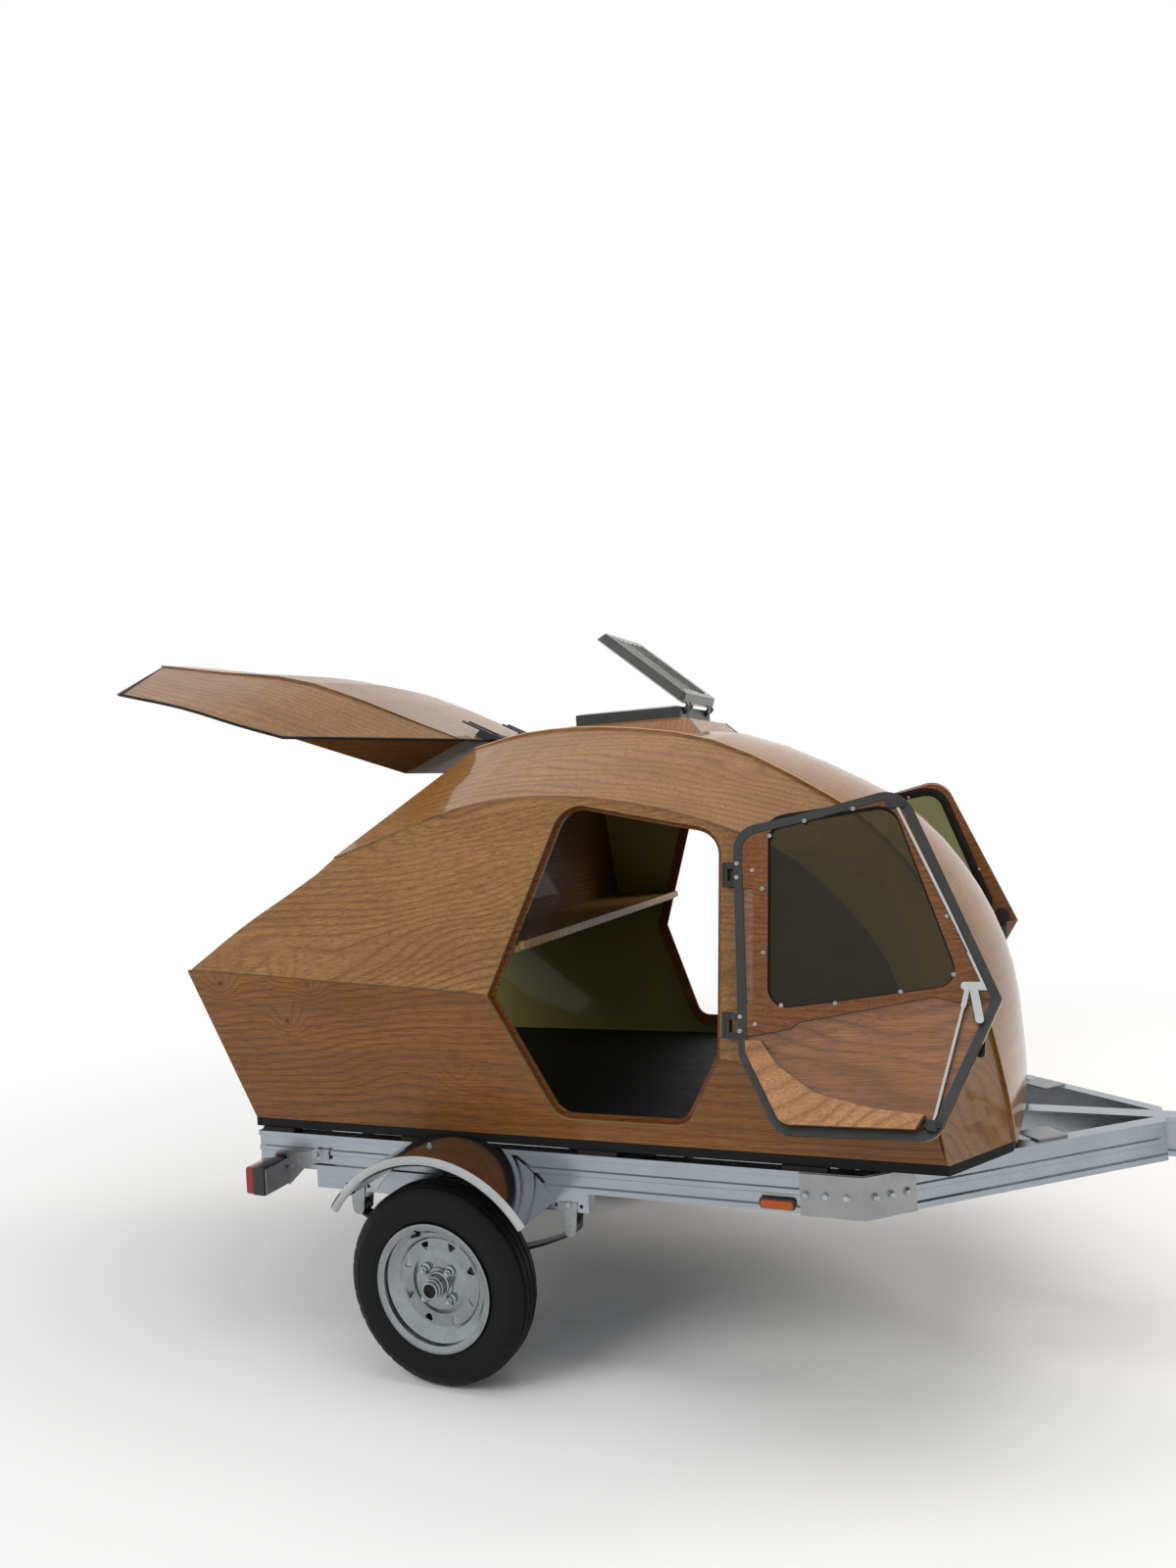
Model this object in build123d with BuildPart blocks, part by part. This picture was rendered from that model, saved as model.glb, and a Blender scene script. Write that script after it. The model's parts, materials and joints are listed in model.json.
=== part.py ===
from build123d import *
import math
import os

os.makedirs("parts", exist_ok=True)

# Teardrop camping trailer, in millimetres: +X forward to the coupler, +Y to the left, +Z up.
# The origin is on the ground, midway along the part with its hatch and doors open.
# Lengths of the cabin and frame are given ahead of the axle, and axle_x places the axle.
axle_x = -775.5

# Wheels
tyre_radius = 262
tyre_width = 118
rim_radius = 168
rim_width = 114
wheel_y = 751
disc_inset = 35
lug_circle = 50.8
spindle_radius = 14
running_gap = 0.05

# Aluminium frame
rail_y = 644
rail_width = 41
rail_height = 101.6
rail_top = 584
rail_rear = -674
rail_bend = 1097
tongue_tip = 1786
tongue_tip_y = 66
beam_width = 64
beam_rear = 560
beam_front = 2560
cross_height = 76
spring_rail_height = 50
fit_gap = 0.3

# Cabin
block_height = 13
floor_thickness = 25
floor_half_width = 638
floor_rear = -682
floor_front = 1288
nose_corner = 1420
nose_half_width = 428
nose_bow = 15
side_flare = 0.25
skin = 8
hatch_gap = 8
door_gap = 7

# Doors, measured along the closed door: the hinge line's foot and head, then the angles they stand open
hinge_foot = (806, 942)
hinge_head = (802, 1301)
hinge_stand_off = 12
door_angle_right = 179
door_angle_left = 173

# Hatch and roof vent
hatch_hinge_x = -40
hatch_hinge_height = 1100
hatch_angle = 50.5
vent_front = 564
vent_size = 340
vent_base_height = 33
vent_angle = 40
curb_top = 1106
curb_board = 8
pin_fit = 0.05

# Jack and coupler
jack_x = 2230
jack_tube_radius = 28
ball_x = 2650
ball_radius = 25.4
ball_fit = 0.6

rail_bottom = rail_top - rail_height
floor_bottom = rail_top + block_height
floor_top = floor_bottom + floor_thickness
sides = (-1, 1)
names = {-1: "right", 1: "left"}

# Half-lines of the cabin. The chine: x, height above the floor. The lap between the side and the roof
# plank, then the seam between the roof plank and the centre plank: x, half width, height above the floor,
# each row a station from the hatch's tail to the nose, with the centre plank's crown there.
chine_rows = [
    (-812, 458), (-600, 447), (-301, 426), (0, 409), (183, 391),
    (480, 328), (783, 243), (1040, 172), (1300, 108),
]
tail_rows = [
    ((-812, 745, 458), (-965, 448, 458), 20),
    ((-640, 712, 580), (-802, 396, 594), 18),
    ((-480, 684, 675), (-538, 368, 804), 18),
    ((-348, 657, 757), (-68, 300, 1052), 14),
]
roof_rows = [
    ((-340, 655, 763), (-58, 300, 1056), 12),
    ((65, 615, 884), (118, 300, 1084), 5),
    ((357, 600, 897), (374, 300, 1082), 4),
    ((650, 590, 845), (700, 302, 1020), 26),
    ((905, 555, 740), (1003, 308, 853), 52),
    ((1040, 555, 628), (1156, 316, 727), 66),
    ((1150, 582, 498), (1278, 328, 541), 74),
    ((1218, 612, 338), (1356, 348, 348), 66),
    ((1268, 646, 116), (1404, 396, 122), 34),
    ((1288, 638, 0), (1420, 428, 0), 16),
]


def fair(values, step):
    """Smooth values between the rows of a table: value at a fractional row."""
    row = min(int(step), len(values) - 2)
    t = step - row
    start = values[row]
    end = values[row + 1]
    before = values[row - 1] if row > 0 else 2 * start - end
    after = values[row + 2] if row + 2 < len(values) else 2 * end - start
    slope_start = (end - before) / 2
    slope_end = (after - start) / 2
    return (
        (2 * t**3 - 3 * t**2 + 1) * start
        + (t**3 - 2 * t**2 + t) * slope_start
        + (3 * t**2 - 2 * t**3) * end
        + (t**3 - t**2) * slope_end
    )


def fair_rows(rows, per_gap):
    """Stations between the rows of a plank table, each lap point, seam point and crown."""
    flat = [(*lap, *seam, crown) for lap, seam, crown in rows]
    columns = list(zip(*flat))
    count = per_gap * (len(rows) - 1)
    result = []
    for step in range(count + 1):
        values = [fair(column, step / per_gap) for column in columns]
        result.append((values[0:3], values[3:6], values[6]))
    return result


def chine_height(x):
    """Height of the chine above the floor at a distance ahead of the axle."""
    places = [row[0] for row in chine_rows]
    row = max(i for i in range(len(places) - 1) if places[i] <= x or i == 0)
    t = (x - places[row]) / (places[row + 1] - places[row])
    return fair([value for _, value in chine_rows], row + t)


def flare(height):
    """Half width of the lower side at a height above the floor."""
    return floor_half_width + side_flare * height


tail_stations = fair_rows(tail_rows, 3)
roof_stations = fair_rows(roof_rows, 3)
laps = [lap for lap, _, _ in tail_stations[:-1]] + [lap for lap, _, _ in roof_stations]


def lap_point(x):
    """Half width and height of the lap line at a distance ahead of the axle."""
    for (x0, y0, z0), (x1, y1, z1) in zip(laps, laps[1:]):
        if x0 <= x <= x1:
            t = (x - x0) / (x1 - x0)
            return (y0 + t * (y1 - y0), z0 + t * (z1 - z0))
    return laps[-1][1:]


def side_y(x, height):
    """Half width of the cabin side at a distance ahead of the axle and a height above the floor."""
    chine = chine_height(x)
    if height <= chine:
        return flare(height)
    lap_y, lap_z = lap_point(x)
    return flare(chine) + (lap_y - flare(chine)) * (height - chine) / (lap_z - chine)


def across(x):
    """Plane across the trailer at a distance ahead of the axle, with local x to the left and y up."""
    return Plane(origin=(axle_x + x, 0, 0), x_dir=(0, 1, 0), z_dir=(1, 0, 0))


def side_plane(y):
    """Plane along the trailer at a height y to the left, with local x ahead of the axle and y up."""
    return Plane(origin=(axle_x, y, 0), x_dir=(1, 0, 0), z_dir=(0, -1, 0))


def flat_plane(z):
    """Level plane with its local x ahead of the axle."""
    return Plane(origin=(axle_x, 0, z), x_dir=(1, 0, 0), z_dir=(0, 0, 1))


def save(builder, label):
    builder.part.label = label
    export_step(builder.part, f"parts/{label}.step")


def quad(points):
    """Straight-sided face in the current sketch."""
    Polygon(*points, align=None)


# Cabin sides, each one bent sheet below the chine and one above it
rear_rise = chine_height(-812) / (-812 - floor_rear)


def lower_low(x):
    return max(0, (x - floor_rear) * rear_rise)


def side_strip(side, stations, bottom, top, outset=0, inset=skin):
    """Loft of a strip of the cabin side between two heights, from an outset to an inset of its face."""
    with BuildPart() as strip:
        for x in stations:
            low = bottom(x)
            high = top(x)
            with BuildSketch(across(x)):
                quad([
                    (side * (side_y(x, low) + outset), floor_top + low),
                    (side * (side_y(x, high) + outset), floor_top + high),
                    (side * (side_y(x, high) - inset), floor_top + high),
                    (side * (side_y(x, low) - inset), floor_top + low),
                ])
        loft(ruled=True)
    return strip.part


def lap_top(x):
    y, z = lap_point(x)
    return z - (hatch_gap if x < roof_rows[0][0][0] else 0)


def lower_top(x):
    """Top of the lower side above the floor: the chine, or the front edge where that is lower."""
    return min(chine_height(x), lap_point(x)[1])


lap_places = [x for x, _, _ in laps]
upper_stations = sorted([-795, floor_rear] + [x for x in lap_places if -790 < x < 1266])
lower_stations = [-809] + upper_stations + [1274, 1287]

# Door outline on the closed side: ahead of the axle and above the floor, with each corner's radius
door_corners = [
    (171, 390, 14), (316, 55, 62), (671, 55, 62), (783, 244, 14), (786, 790, 78), (362, 886, 78),
]
window_corners = [
    (262, 420, 45), (705, 352, 45), (692, 800, 52), (392, 838, 52),
]


block_start = 450


def prism(side, corners, grow=0):
    """Block through one cabin side, its section a rounded outline grown or shrunk all round."""
    with BuildPart() as block:
        with BuildSketch(side_plane(side * block_start)):
            with BuildLine():
                FilletPolyline(
                    *[(x, floor_top + z) for x, z, _ in corners], radius=[r for _, _, r in corners], close=True
                )
            make_face()
            if grow:
                offset(amount=grow, kind=Kind.ARC if grow > 0 else Kind.INTERSECTION)
        extrude(amount=-side * block_start)
    return block.part


def straight_prism(side, corners):
    """Block through one cabin side, its section a straight-sided outline."""
    with BuildPart() as block:
        with BuildSketch(side_plane(side * block_start)):
            quad([(x, floor_top + z) for x, z in corners])
        extrude(amount=-side * block_start)
    return block.part


def bar_prism(side, bars):
    """Block through one cabin side, its section a set of round-ended bars: two ends and a width each."""
    with BuildPart() as block:
        for start, end, width in bars:
            middle = ((start[0] + end[0]) / 2, floor_top + (start[1] + end[1]) / 2)
            length = math.dist(start, end)
            turn = math.degrees(math.atan2(end[1] - start[1], end[0] - start[0]))
            with BuildSketch(side_plane(side * block_start)):
                with Locations(middle):
                    SlotCenterToCenter(length, width, rotation=turn)
            extrude(amount=-side * block_start)
    return block.part


door_cutters = {side: prism(side, door_corners) for side in sides}
with BuildPart() as lower_sides:
    for side in sides:
        add(side_strip(side, lower_stations, lower_low, lower_top))
        add(door_cutters[side], mode=Mode.SUBTRACT)
save(lower_sides, "lower_sides")

with BuildPart() as upper_sides:
    for side in sides:
        add(side_strip(side, upper_stations, chine_height, lap_top))
        add(door_cutters[side], mode=Mode.SUBTRACT)
save(upper_sides, "upper_sides")


def fan(lap, seam):
    """Section plane of the roof planks through a lap point and its seam point, square to the trailer."""
    along = Vector(seam[0] - lap[0], 0, seam[2] - lap[2])
    reach = along.length
    along = along.normalized()
    plane = Plane(
        origin=(axle_x + lap[0], 0, floor_top + lap[2]),
        x_dir=(0, 1, 0),
        z_dir=(along.Z, 0, -along.X),
    )
    return plane, reach


def plank_normal(lap, seam, reach):
    width = math.hypot(reach, lap[1] - seam[1])
    return reach / width, (lap[1] - seam[1]) / width


def side_plank(side, stations):
    with BuildPart() as plank:
        for lap, seam, _ in stations:
            plane, reach = fan(lap, seam)
            out, up = plank_normal(lap, seam, reach)
            with BuildSketch(plane):
                quad([
                    (side * lap[1], 0),
                    (side * seam[1], reach),
                    (side * (seam[1] + skin * out), reach + skin * up),
                    (side * (lap[1] + skin * out), skin * up),
                ])
        loft(ruled=True)
    return plank.part


def crown_section(lap, seam, crown):
    """Plane of a centre plank section, then half width and rise of its underside's edge and its top's edge."""
    plane, reach = fan(lap, seam)
    out, up = plank_normal(lap, seam, reach)
    half = seam[1] + skin * out
    base = reach + skin * up
    radius = (half**2 + crown**2) / (2 * crown)
    grown = (radius + skin) / radius
    middle = base + crown - radius
    return plane, (half, base), (half * grown, middle + (base - middle) * grown)


def centre_plank(stations):
    with BuildPart() as plank:
        for lap, seam, crown in stations:
            plane, (half, base), (wide, edge) = crown_section(lap, seam, crown)
            with BuildSketch(plane):
                with BuildLine():
                    ThreePointArc((-half, base), (0, base + crown), (half, base))
                    Line((half, base), (wide, edge))
                    ThreePointArc((wide, edge), (0, base + crown + skin), (-wide, edge))
                    Line((-wide, edge), (-half, base))
                make_face()
        loft(ruled=True)
    return plank.part


def under_centre(stations, depth):
    """Space below the top of the centre plank, down to a depth below the seam."""
    with BuildPart() as space:
        for lap, seam, crown in stations:
            plane, (_, base), (wide, edge) = crown_section(lap, seam, crown)
            with BuildSketch(plane):
                with BuildLine():
                    ThreePointArc((wide, edge), (0, base + crown + skin), (-wide, edge))
                    Polyline((-wide, edge), (-wide, base - depth), (wide, base - depth), (wide, edge))
                make_face()
        loft(ruled=True)
    return space.part


vent_rear = vent_front - vent_size
vent_wall = 30
vent_middle = (vent_front + vent_rear) / 2
vent_hole = vent_size - 2 * vent_wall
space_depth = 130
vent_stations = [station for station in roof_stations if station[1][0] < vent_front + 240]
with BuildPart() as roof_planks:
    for side in sides:
        add(side_plank(side, roof_stations))
save(roof_planks, "roof_planks")

with BuildPart() as roof_centre:
    add(centre_plank(roof_stations))
    with BuildSketch(flat_plane(floor_top + tail_rows[-1][1][2])):
        with Locations((vent_middle, 0)):
            Rectangle(vent_hole, vent_hole)
    extrude(amount=space_depth, both=True, mode=Mode.SUBTRACT)
save(roof_centre, "roof_centre")

# Floor pan
floor_edge = 6
tail_corner = (-850, 428)
with BuildPart() as floor_pan:
    with BuildSketch(flat_plane(floor_bottom)):
        with BuildLine():
            Polyline(
                (nose_corner + floor_edge, -nose_half_width),
                (floor_front + floor_edge, -floor_half_width),
                (floor_rear, -floor_half_width),
                (tail_corner[0], -tail_corner[1]),
                tail_corner,
                (floor_rear, floor_half_width),
                (floor_front + floor_edge, floor_half_width),
                (nose_corner + floor_edge, nose_half_width),
            )
            ThreePointArc(
                (nose_corner + floor_edge, nose_half_width),
                (nose_corner + floor_edge + nose_bow, 0),
                (nose_corner + floor_edge, -nose_half_width),
            )
        make_face()
    extrude(amount=floor_thickness)
save(floor_pan, "floor_pan")

# Tail below the hatch: two corner panels and the transom between them
tail_height = chine_height(-812) - hatch_gap
tail_lean = (tail_rows[0][1][0] - tail_corner[0]) / tail_rows[0][1][2]
tail_spread = 0.03
corner_lean = (tail_rows[0][0][0] - floor_rear) / chine_height(tail_rows[0][0][0])
corner_inset = 1.6 * skin


def tail_section(side, height):
    """Outer edges of a corner panel at a height above the floor: by the side panel, then by the transom."""
    near = (floor_rear + corner_lean * height - 1, side * (flare(height) - 1))
    far = (tail_corner[0] + tail_lean * height, side * (tail_corner[1] + tail_spread * height))
    return near, far


def tail_panel(side):
    with BuildPart() as panel:
        for height in (0, tail_height):
            near, far = tail_section(side, height)
            with BuildSketch(flat_plane(floor_top + height)):
                quad([near, far, (far[0] + skin, far[1]), (near[0], near[1] - side * corner_inset)])
        loft(ruled=True)
    return panel.part


with BuildPart() as tail_corners:
    for side in sides:
        add(tail_panel(side))
save(tail_corners, "tail_corners")

with BuildPart() as transom:
    for height in (0, tail_height):
        _, far = tail_section(1, height)
        with BuildSketch(flat_plane(floor_top + height)):
            quad([
                (far[0], -far[1] + fit_gap), (far[0], far[1] - fit_gap),
                (far[0] + skin, far[1] - fit_gap), (far[0] + skin, -far[1] + fit_gap),
            ])
    loft(ruled=True)
save(transom, "tail_transom")

# Galley counter, with the sleeper's foot room below it, its front lip, and the bulkhead above it
counter_front = 236
counter_height = 514
counter_thickness = 18
counter_rear = -715
counter_step = 120
lip_thickness = 14
lip_height = 20
rim_depth = 20
rim_clear = 7


def counter_edge(x):
    """Half width of the counter, inside the skin and, by a door, inside the rim of its opening."""
    inside = skin + 1 + (rim_depth + rim_clear if x >= counter_step else 0)
    return side_y(x, max(counter_height, chine_height(x))) - inside


with BuildPart() as counter:
    with BuildSketch(flat_plane(floor_top + counter_height - counter_thickness)):
        stations = [x for x in reversed(upper_stations) if counter_rear < x < counter_step]
        edge = [(x, counter_edge(x)) for x in [counter_front, counter_step] + stations]
        quad([(x, -y) for x, y in edge] + [(x, y) for x, y in reversed(edge)])
    extrude(amount=counter_thickness)
save(counter, "galley_counter")

with BuildPart() as counter_lip:
    with Locations((
        axle_x + counter_front + lip_thickness / 2,
        0,
        floor_top + counter_height - (lip_height - counter_thickness) / 2,
    )):
        Box(lip_thickness, 2 * counter_edge(counter_front) - 2 * rim_clear, lip_height)
save(counter_lip, "counter_lip")

bulkhead_x = -20
bulkhead_thickness = 12
bulkhead_top = 1050
bulkhead_gap = 14
with BuildPart() as bulkhead:
    with BuildSketch(across(bulkhead_x)):
        lap_y, lap_z = lap_point(bulkhead_x)
        foot_y = side_y(bulkhead_x, counter_height) - skin - 1
        quad([
            (-foot_y, floor_top + counter_height), (foot_y, floor_top + counter_height),
            (lap_y - bulkhead_gap, floor_top + lap_z - 4), (roof_rows[0][1][1], floor_top + bulkhead_top),
            (-roof_rows[0][1][1], floor_top + bulkhead_top), (-lap_y + bulkhead_gap, floor_top + lap_z - 4),
        ])
    extrude(amount=bulkhead_thickness)
save(bulkhead, "bulkhead")

# Rims inside the door openings, each with a step behind the closed door's seal
rim_out = 22
rim_in = 12
rim_step = 14
rim_foot = 8
rim_stations = [x for x in lap_places if 60 < x < 910]


def rim_bottom(x):
    return rim_foot


def rim_top(x):
    return lap_point(x)[1] - 3


def side_sheet(side, outset, inset, keep, cut=()):
    """Both halves of the cabin side by a door, from an outset to an inset, within and without given blocks."""
    with BuildPart() as sheet:
        add(side_strip(side, rim_stations, rim_bottom, chine_height, outset, inset))
        add(side_strip(side, rim_stations, chine_height, rim_top, outset, inset))
        for block in keep:
            add(block, mode=Mode.INTERSECT)
        for block in cut:
            add(block, mode=Mode.SUBTRACT)
    return sheet.part


with BuildPart() as door_rims:
    for side in sides:
        opening = door_cutters[side]
        add(side_sheet(side, -skin, skin + rim_depth, [prism(side, door_corners, rim_out)], [opening]))
        step_inside = prism(side, door_corners, -rim_in)
        add(side_sheet(side, -skin - rim_step, skin + rim_depth, [opening], [step_inside]))
save(door_rims, "door_rims")


def hinge_point(side, place):
    x, z = place
    return Vector(axle_x + x, side * (side_y(x, z - floor_top) + hinge_stand_off), z)


def hinge_axis(side):
    foot = hinge_point(side, hinge_foot)
    head = hinge_point(side, hinge_head)
    return Axis(foot, head - foot)


# Door pieces, each made closed and then turned open about its hinge line
seal_width = 20
seal_thickness = 8
seal_edge = door_gap + 1
seal_inner = seal_edge + seal_width + 1
glass_outset = 1.5
glass_thickness = 4
lining_thickness = 7
lining_corners = [
    (150, 390), (218, 390), (277, 382), (325, 393), (635, 328), (654, 312), (800, 282), (800, 363), (739, 365),
    (731, 640), (800, 640), (800, 900), (150, 900),
]
pocket_corners = [
    (776, 278), (718, 279), (675, 221), (583, 157), (453, 126), (344, 116), (386, 50), (649, 52), (777, 253),
]
pocket_hollow = [
    (400, 98), (640, 98), (742, 262), (742, 300), (372, 300), (372, 118),
]
pocket_depth = 22
pocket_board = 6
latch_bars = [
    ((389, 846), (240, 488), 6), ((240, 488), (212, 416), 11), ((208, 416), (256, 416), 18),
    ((250, 416), (262, 372), 11), ((262, 372), (331, 86), 6),
]
latch_depth = 6
lever_bars = [
    ((238, 412), (227, 337), 18),
]
handle_boss = [
    ((226, 412), (228, 412), 44),
]
handle_bars = [
    ((227, 412), (231, 268), 20),
]
handle_stand_off = 12
handle_thickness = 8


def window_prism(side, grow=0):
    return prism(side, window_corners, grow)


def door_panel(side):
    return side_sheet(side, 0, skin, [prism(side, door_corners, -door_gap)], [window_prism(side)])


def door_seal(side):
    ring = [prism(side, door_corners, -seal_edge)]
    return side_sheet(side, -skin, skin + seal_thickness, ring, [prism(side, door_corners, -seal_inner + 1)])


def door_glass(side):
    return side_sheet(side, -glass_outset, glass_outset + glass_thickness, [window_prism(side, -fit_gap)])


def door_lining(side):
    keep = [prism(side, door_corners, -seal_inner), straight_prism(side, lining_corners)]
    return side_sheet(side, -skin, skin + lining_thickness, keep, [window_prism(side)])


def door_pocket(side):
    """Curved board over the lower part of the door, on a spacer that is open at the top."""
    inside_seal = prism(side, door_corners, -seal_inner)
    outline = straight_prism(side, pocket_corners)
    with BuildPart() as pocket:
        add(side_sheet(
            side, -skin, skin + pocket_depth, [inside_seal, outline], [straight_prism(side, pocket_hollow)]
        ))
        add(side_sheet(
            side, -skin - pocket_depth, skin + pocket_depth + pocket_board, [inside_seal, outline]
        ))
    return pocket.part


def door_latch(side):
    """Rods to the top and foot of the door, their cross plate and the lever, standing on the lining."""
    inside_seal = prism(side, door_corners, -seal_inner)
    face = skin + lining_thickness
    with BuildPart() as latch:
        add(side_sheet(side, -face, face + latch_depth, [bar_prism(side, latch_bars), inside_seal]))
        add(side_sheet(side, -face - latch_depth, face + 2 * latch_depth, [bar_prism(side, lever_bars)]))
    return latch.part


def door_handle(side):
    """Handle on the door's outer face, its blade hanging from a round boss."""
    with BuildPart() as handle:
        add(side_sheet(side, handle_stand_off, 0, [bar_prism(side, handle_boss)]))
        add(side_sheet(
            side, handle_stand_off + handle_thickness, -handle_stand_off, [bar_prism(side, handle_bars)]
        ))
    return handle.part


# Door hinges: local x forward along the skin, z along the hinge line
hinge_half = 30
knuckle_half = 14.5
knuckle_gap = 0.5
knuckle_radius = 6
pin_radius = 3
leaf_outset = 5
base_outset = 3
leaf_reach = (728, 776)
base_reach = (788, 812)
arm_profile = [
    (-40, -9.5), (-40, -6.5), (-30, -3), (0, -2), (0, -5.5), (-22, -6.2), (-32, -9.5),
]
base_profile = [
    (-8, -10), (8, -10), (5, 0), (-5, 0),
]


def hinge_plane(side, place):
    x, z = place
    span = 45
    ahead = side_y(x + span, z - floor_top) - side_y(x - span, z - floor_top)
    return Plane(
        origin=hinge_point(side, place), x_dir=(2 * span, side * ahead, 0), z_dir=hinge_axis(side).direction
    )


def leaf_block(side, place, reach, half):
    rear, front = reach
    low = place[1] - floor_top - half
    high = low + 2 * half
    return straight_prism(side, [(rear, low), (front, low), (front, high), (rear, high)])


def hinge_leaves(side):
    """The doors' half of both hinges: leaf, arms and end knuckles."""
    with BuildPart() as leaves:
        for place in (hinge_foot, hinge_head):
            add(side_sheet(side, leaf_outset, 0, [leaf_block(side, place, leaf_reach, hinge_half)]))
            for end in sides:
                with BuildSketch(hinge_plane(side, place).offset(end * (knuckle_half + knuckle_gap))):
                    quad([(x, side * y) for x, y in arm_profile])
                    Circle(knuckle_radius)
                    Circle(pin_radius + pin_fit, mode=Mode.SUBTRACT)
                extrude(amount=end * (hinge_half - knuckle_half - knuckle_gap))
    return leaves.part


def hinge_bases(side):
    """The cabin's half of both hinges: leaf, middle knuckle and pin."""
    with BuildPart() as bases:
        for place in (hinge_foot, hinge_head):
            add(side_sheet(side, base_outset, 0, [leaf_block(side, place, base_reach, hinge_half)]))
            with BuildSketch(hinge_plane(side, place)):
                quad([(x, side * y) for x, y in base_profile])
                Circle(knuckle_radius)
            extrude(amount=knuckle_half, both=True)
            with BuildSketch(hinge_plane(side, place)):
                Circle(pin_radius)
            extrude(amount=hinge_half, both=True)
    return bases.part


with BuildPart() as door_hinge_bases:
    for side in sides:
        add(hinge_bases(side))
save(door_hinge_bases, "door_hinge_bases")

door_angles = {-1: door_angle_right, 1: -door_angle_left}
door_makers = {
    "door": door_panel,
    "door_seal": door_seal,
    "door_glass": door_glass,
    "door_lining": door_lining,
    "door_pocket": door_pocket,
    "door_latch": door_latch,
    "door_handle": door_handle,
    "door_hinges": hinge_leaves,
}
for side in sides:
    for label, maker in door_makers.items():
        closed = maker(side)
        with BuildPart() as door_piece:
            add(closed.rotate(hinge_axis(side), door_angles[side]))
        save(door_piece, f"{label}_{names[side]}")

# Roof vent: curb with sloping skirts on the centre plank, base frame, and the lid on its hinge at the front
curb_rear = vent_rear - 56
curb_front = vent_front + 40
curb_half = vent_size / 2 + 20
curb_depth = 90
curb_front_slope = 0.95
curb_side_slope = 0.88
board_overhang = 8
with BuildPart() as vent_curb:
    for drop in (0, curb_depth):
        front = curb_front + curb_front_slope * drop
        half = curb_half + curb_side_slope * drop
        with BuildSketch(flat_plane(floor_top + curb_top - drop)):
            quad([(curb_rear, -half), (front, -half), (front, half), (curb_rear, half)])
    loft(ruled=True)
    with BuildSketch(flat_plane(floor_top + curb_top)):
        with Locations((vent_middle, 0)):
            Rectangle(vent_size + 2 * board_overhang, vent_size + 2 * board_overhang)
    extrude(amount=curb_board)
    add(under_centre(vent_stations, space_depth), mode=Mode.SUBTRACT)
    with BuildSketch(flat_plane(floor_top + curb_top)):
        with Locations((vent_middle, 0)):
            Rectangle(vent_hole, vent_hole)
    extrude(amount=curb_depth, both=True, mode=Mode.SUBTRACT)
save(vent_curb, "vent_curb")

vent_corner = 22
vent_inner_corner = 14
vent_foot = floor_top + curb_top + curb_board
vent_top = vent_foot + vent_base_height
lug_places = (-110, 110)
lug_width = 24
lug_radius = 5
lug_pin = 2
lug_profile = [
    (-2, -20), (4, -20), (13, -7), (13, -4), (5, -4), (4, -8), (-2, -8),
]
hinge_ahead = 9
hinge_below = 4
vent_hinge = Axis((axle_x + vent_front + hinge_ahead, 0, vent_top - hinge_below), (0, 1, 0))
with BuildPart() as vent_base:
    with BuildSketch(flat_plane(vent_foot)):
        with Locations((vent_middle, 0)):
            RectangleRounded(vent_size, vent_size, vent_corner)
            RectangleRounded(vent_hole, vent_hole, vent_inner_corner, mode=Mode.SUBTRACT)
    extrude(amount=vent_base_height)
    for y in lug_places:
        with BuildSketch(side_plane(y + lug_width / 2)):
            quad([(vent_front + x, vent_top + z) for x, z in lug_profile])
            with Locations((vent_front + hinge_ahead, vent_top - hinge_below)):
                Circle(lug_radius)
        extrude(amount=lug_width)
        with BuildSketch(side_plane(y + lug_width)):
            with Locations((vent_front + hinge_ahead, vent_top - hinge_below)):
                Circle(lug_pin)
        extrude(amount=2 * lug_width)
save(vent_base, "vent_base")

lid_gap = 6
lid_height = 30
lid_wall = 5
lid_taper = 22
lid_overhang = 2
lid_arm = [
    (4, -4), (14, -4), (14, 9), (2, 13), (-2, 13), (-2, 9), (5, 6),
]
lid_size = vent_size + 2 * lid_overhang
with BuildPart() as lid:
    with BuildSketch(flat_plane(vent_top + lid_gap)):
        with Locations((vent_middle, 0)):
            RectangleRounded(lid_size, lid_size, vent_corner + lid_overhang)
    extrude(amount=lid_height, taper=lid_taper)
    offset(amount=-lid_wall, openings=faces().sort_by(Axis.Z)[0])
with BuildPart() as lid_arms:
    for y in lug_places:
        for end in sides:
            start = y + end * (lug_width / 2 + knuckle_gap)
            with BuildSketch(side_plane(start)):
                quad([(vent_front + x, vent_top + z) for x, z in lid_arm])
                with Locations((vent_front + hinge_ahead, vent_top - hinge_below)):
                    Circle(lug_radius)
                    Circle(lug_pin + pin_fit, mode=Mode.SUBTRACT)
            extrude(amount=-end * (lug_width / 2 - knuckle_gap))
with BuildPart() as lid_open:
    add(lid.part.rotate(vent_hinge, vent_angle))
    add(lid_arms.part.rotate(vent_hinge, vent_angle))
save(lid_open, "vent_lid")

# Hatch: the planks behind the roof and the frame under their front edge, turned up about the roof hinges
hatch_hinge_places = (-140, 140)
hatch_hinge_radius = 6
hatch_pin_radius = 3
hatch_leaf_half = 30
hatch_knuckle_half = 12
frame_apex = (-136, 300, 832)
frame_board = 12
frame_start = 0.07
frame_set = 10
frame_joint = 5
frame_above = 3
hatch_hinge = Axis((axle_x + hatch_hinge_x, 0, floor_top + hatch_hinge_height), (0, 1, 0))
cut_lap, cut_seam, _ = tail_stations[-1]


def cut_place(t):
    """Point along the hatch's front edge, from the lap to the seam."""
    return Vector(*[low + t * (high - low) for low, high in zip(cut_lap, cut_seam)])


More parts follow.
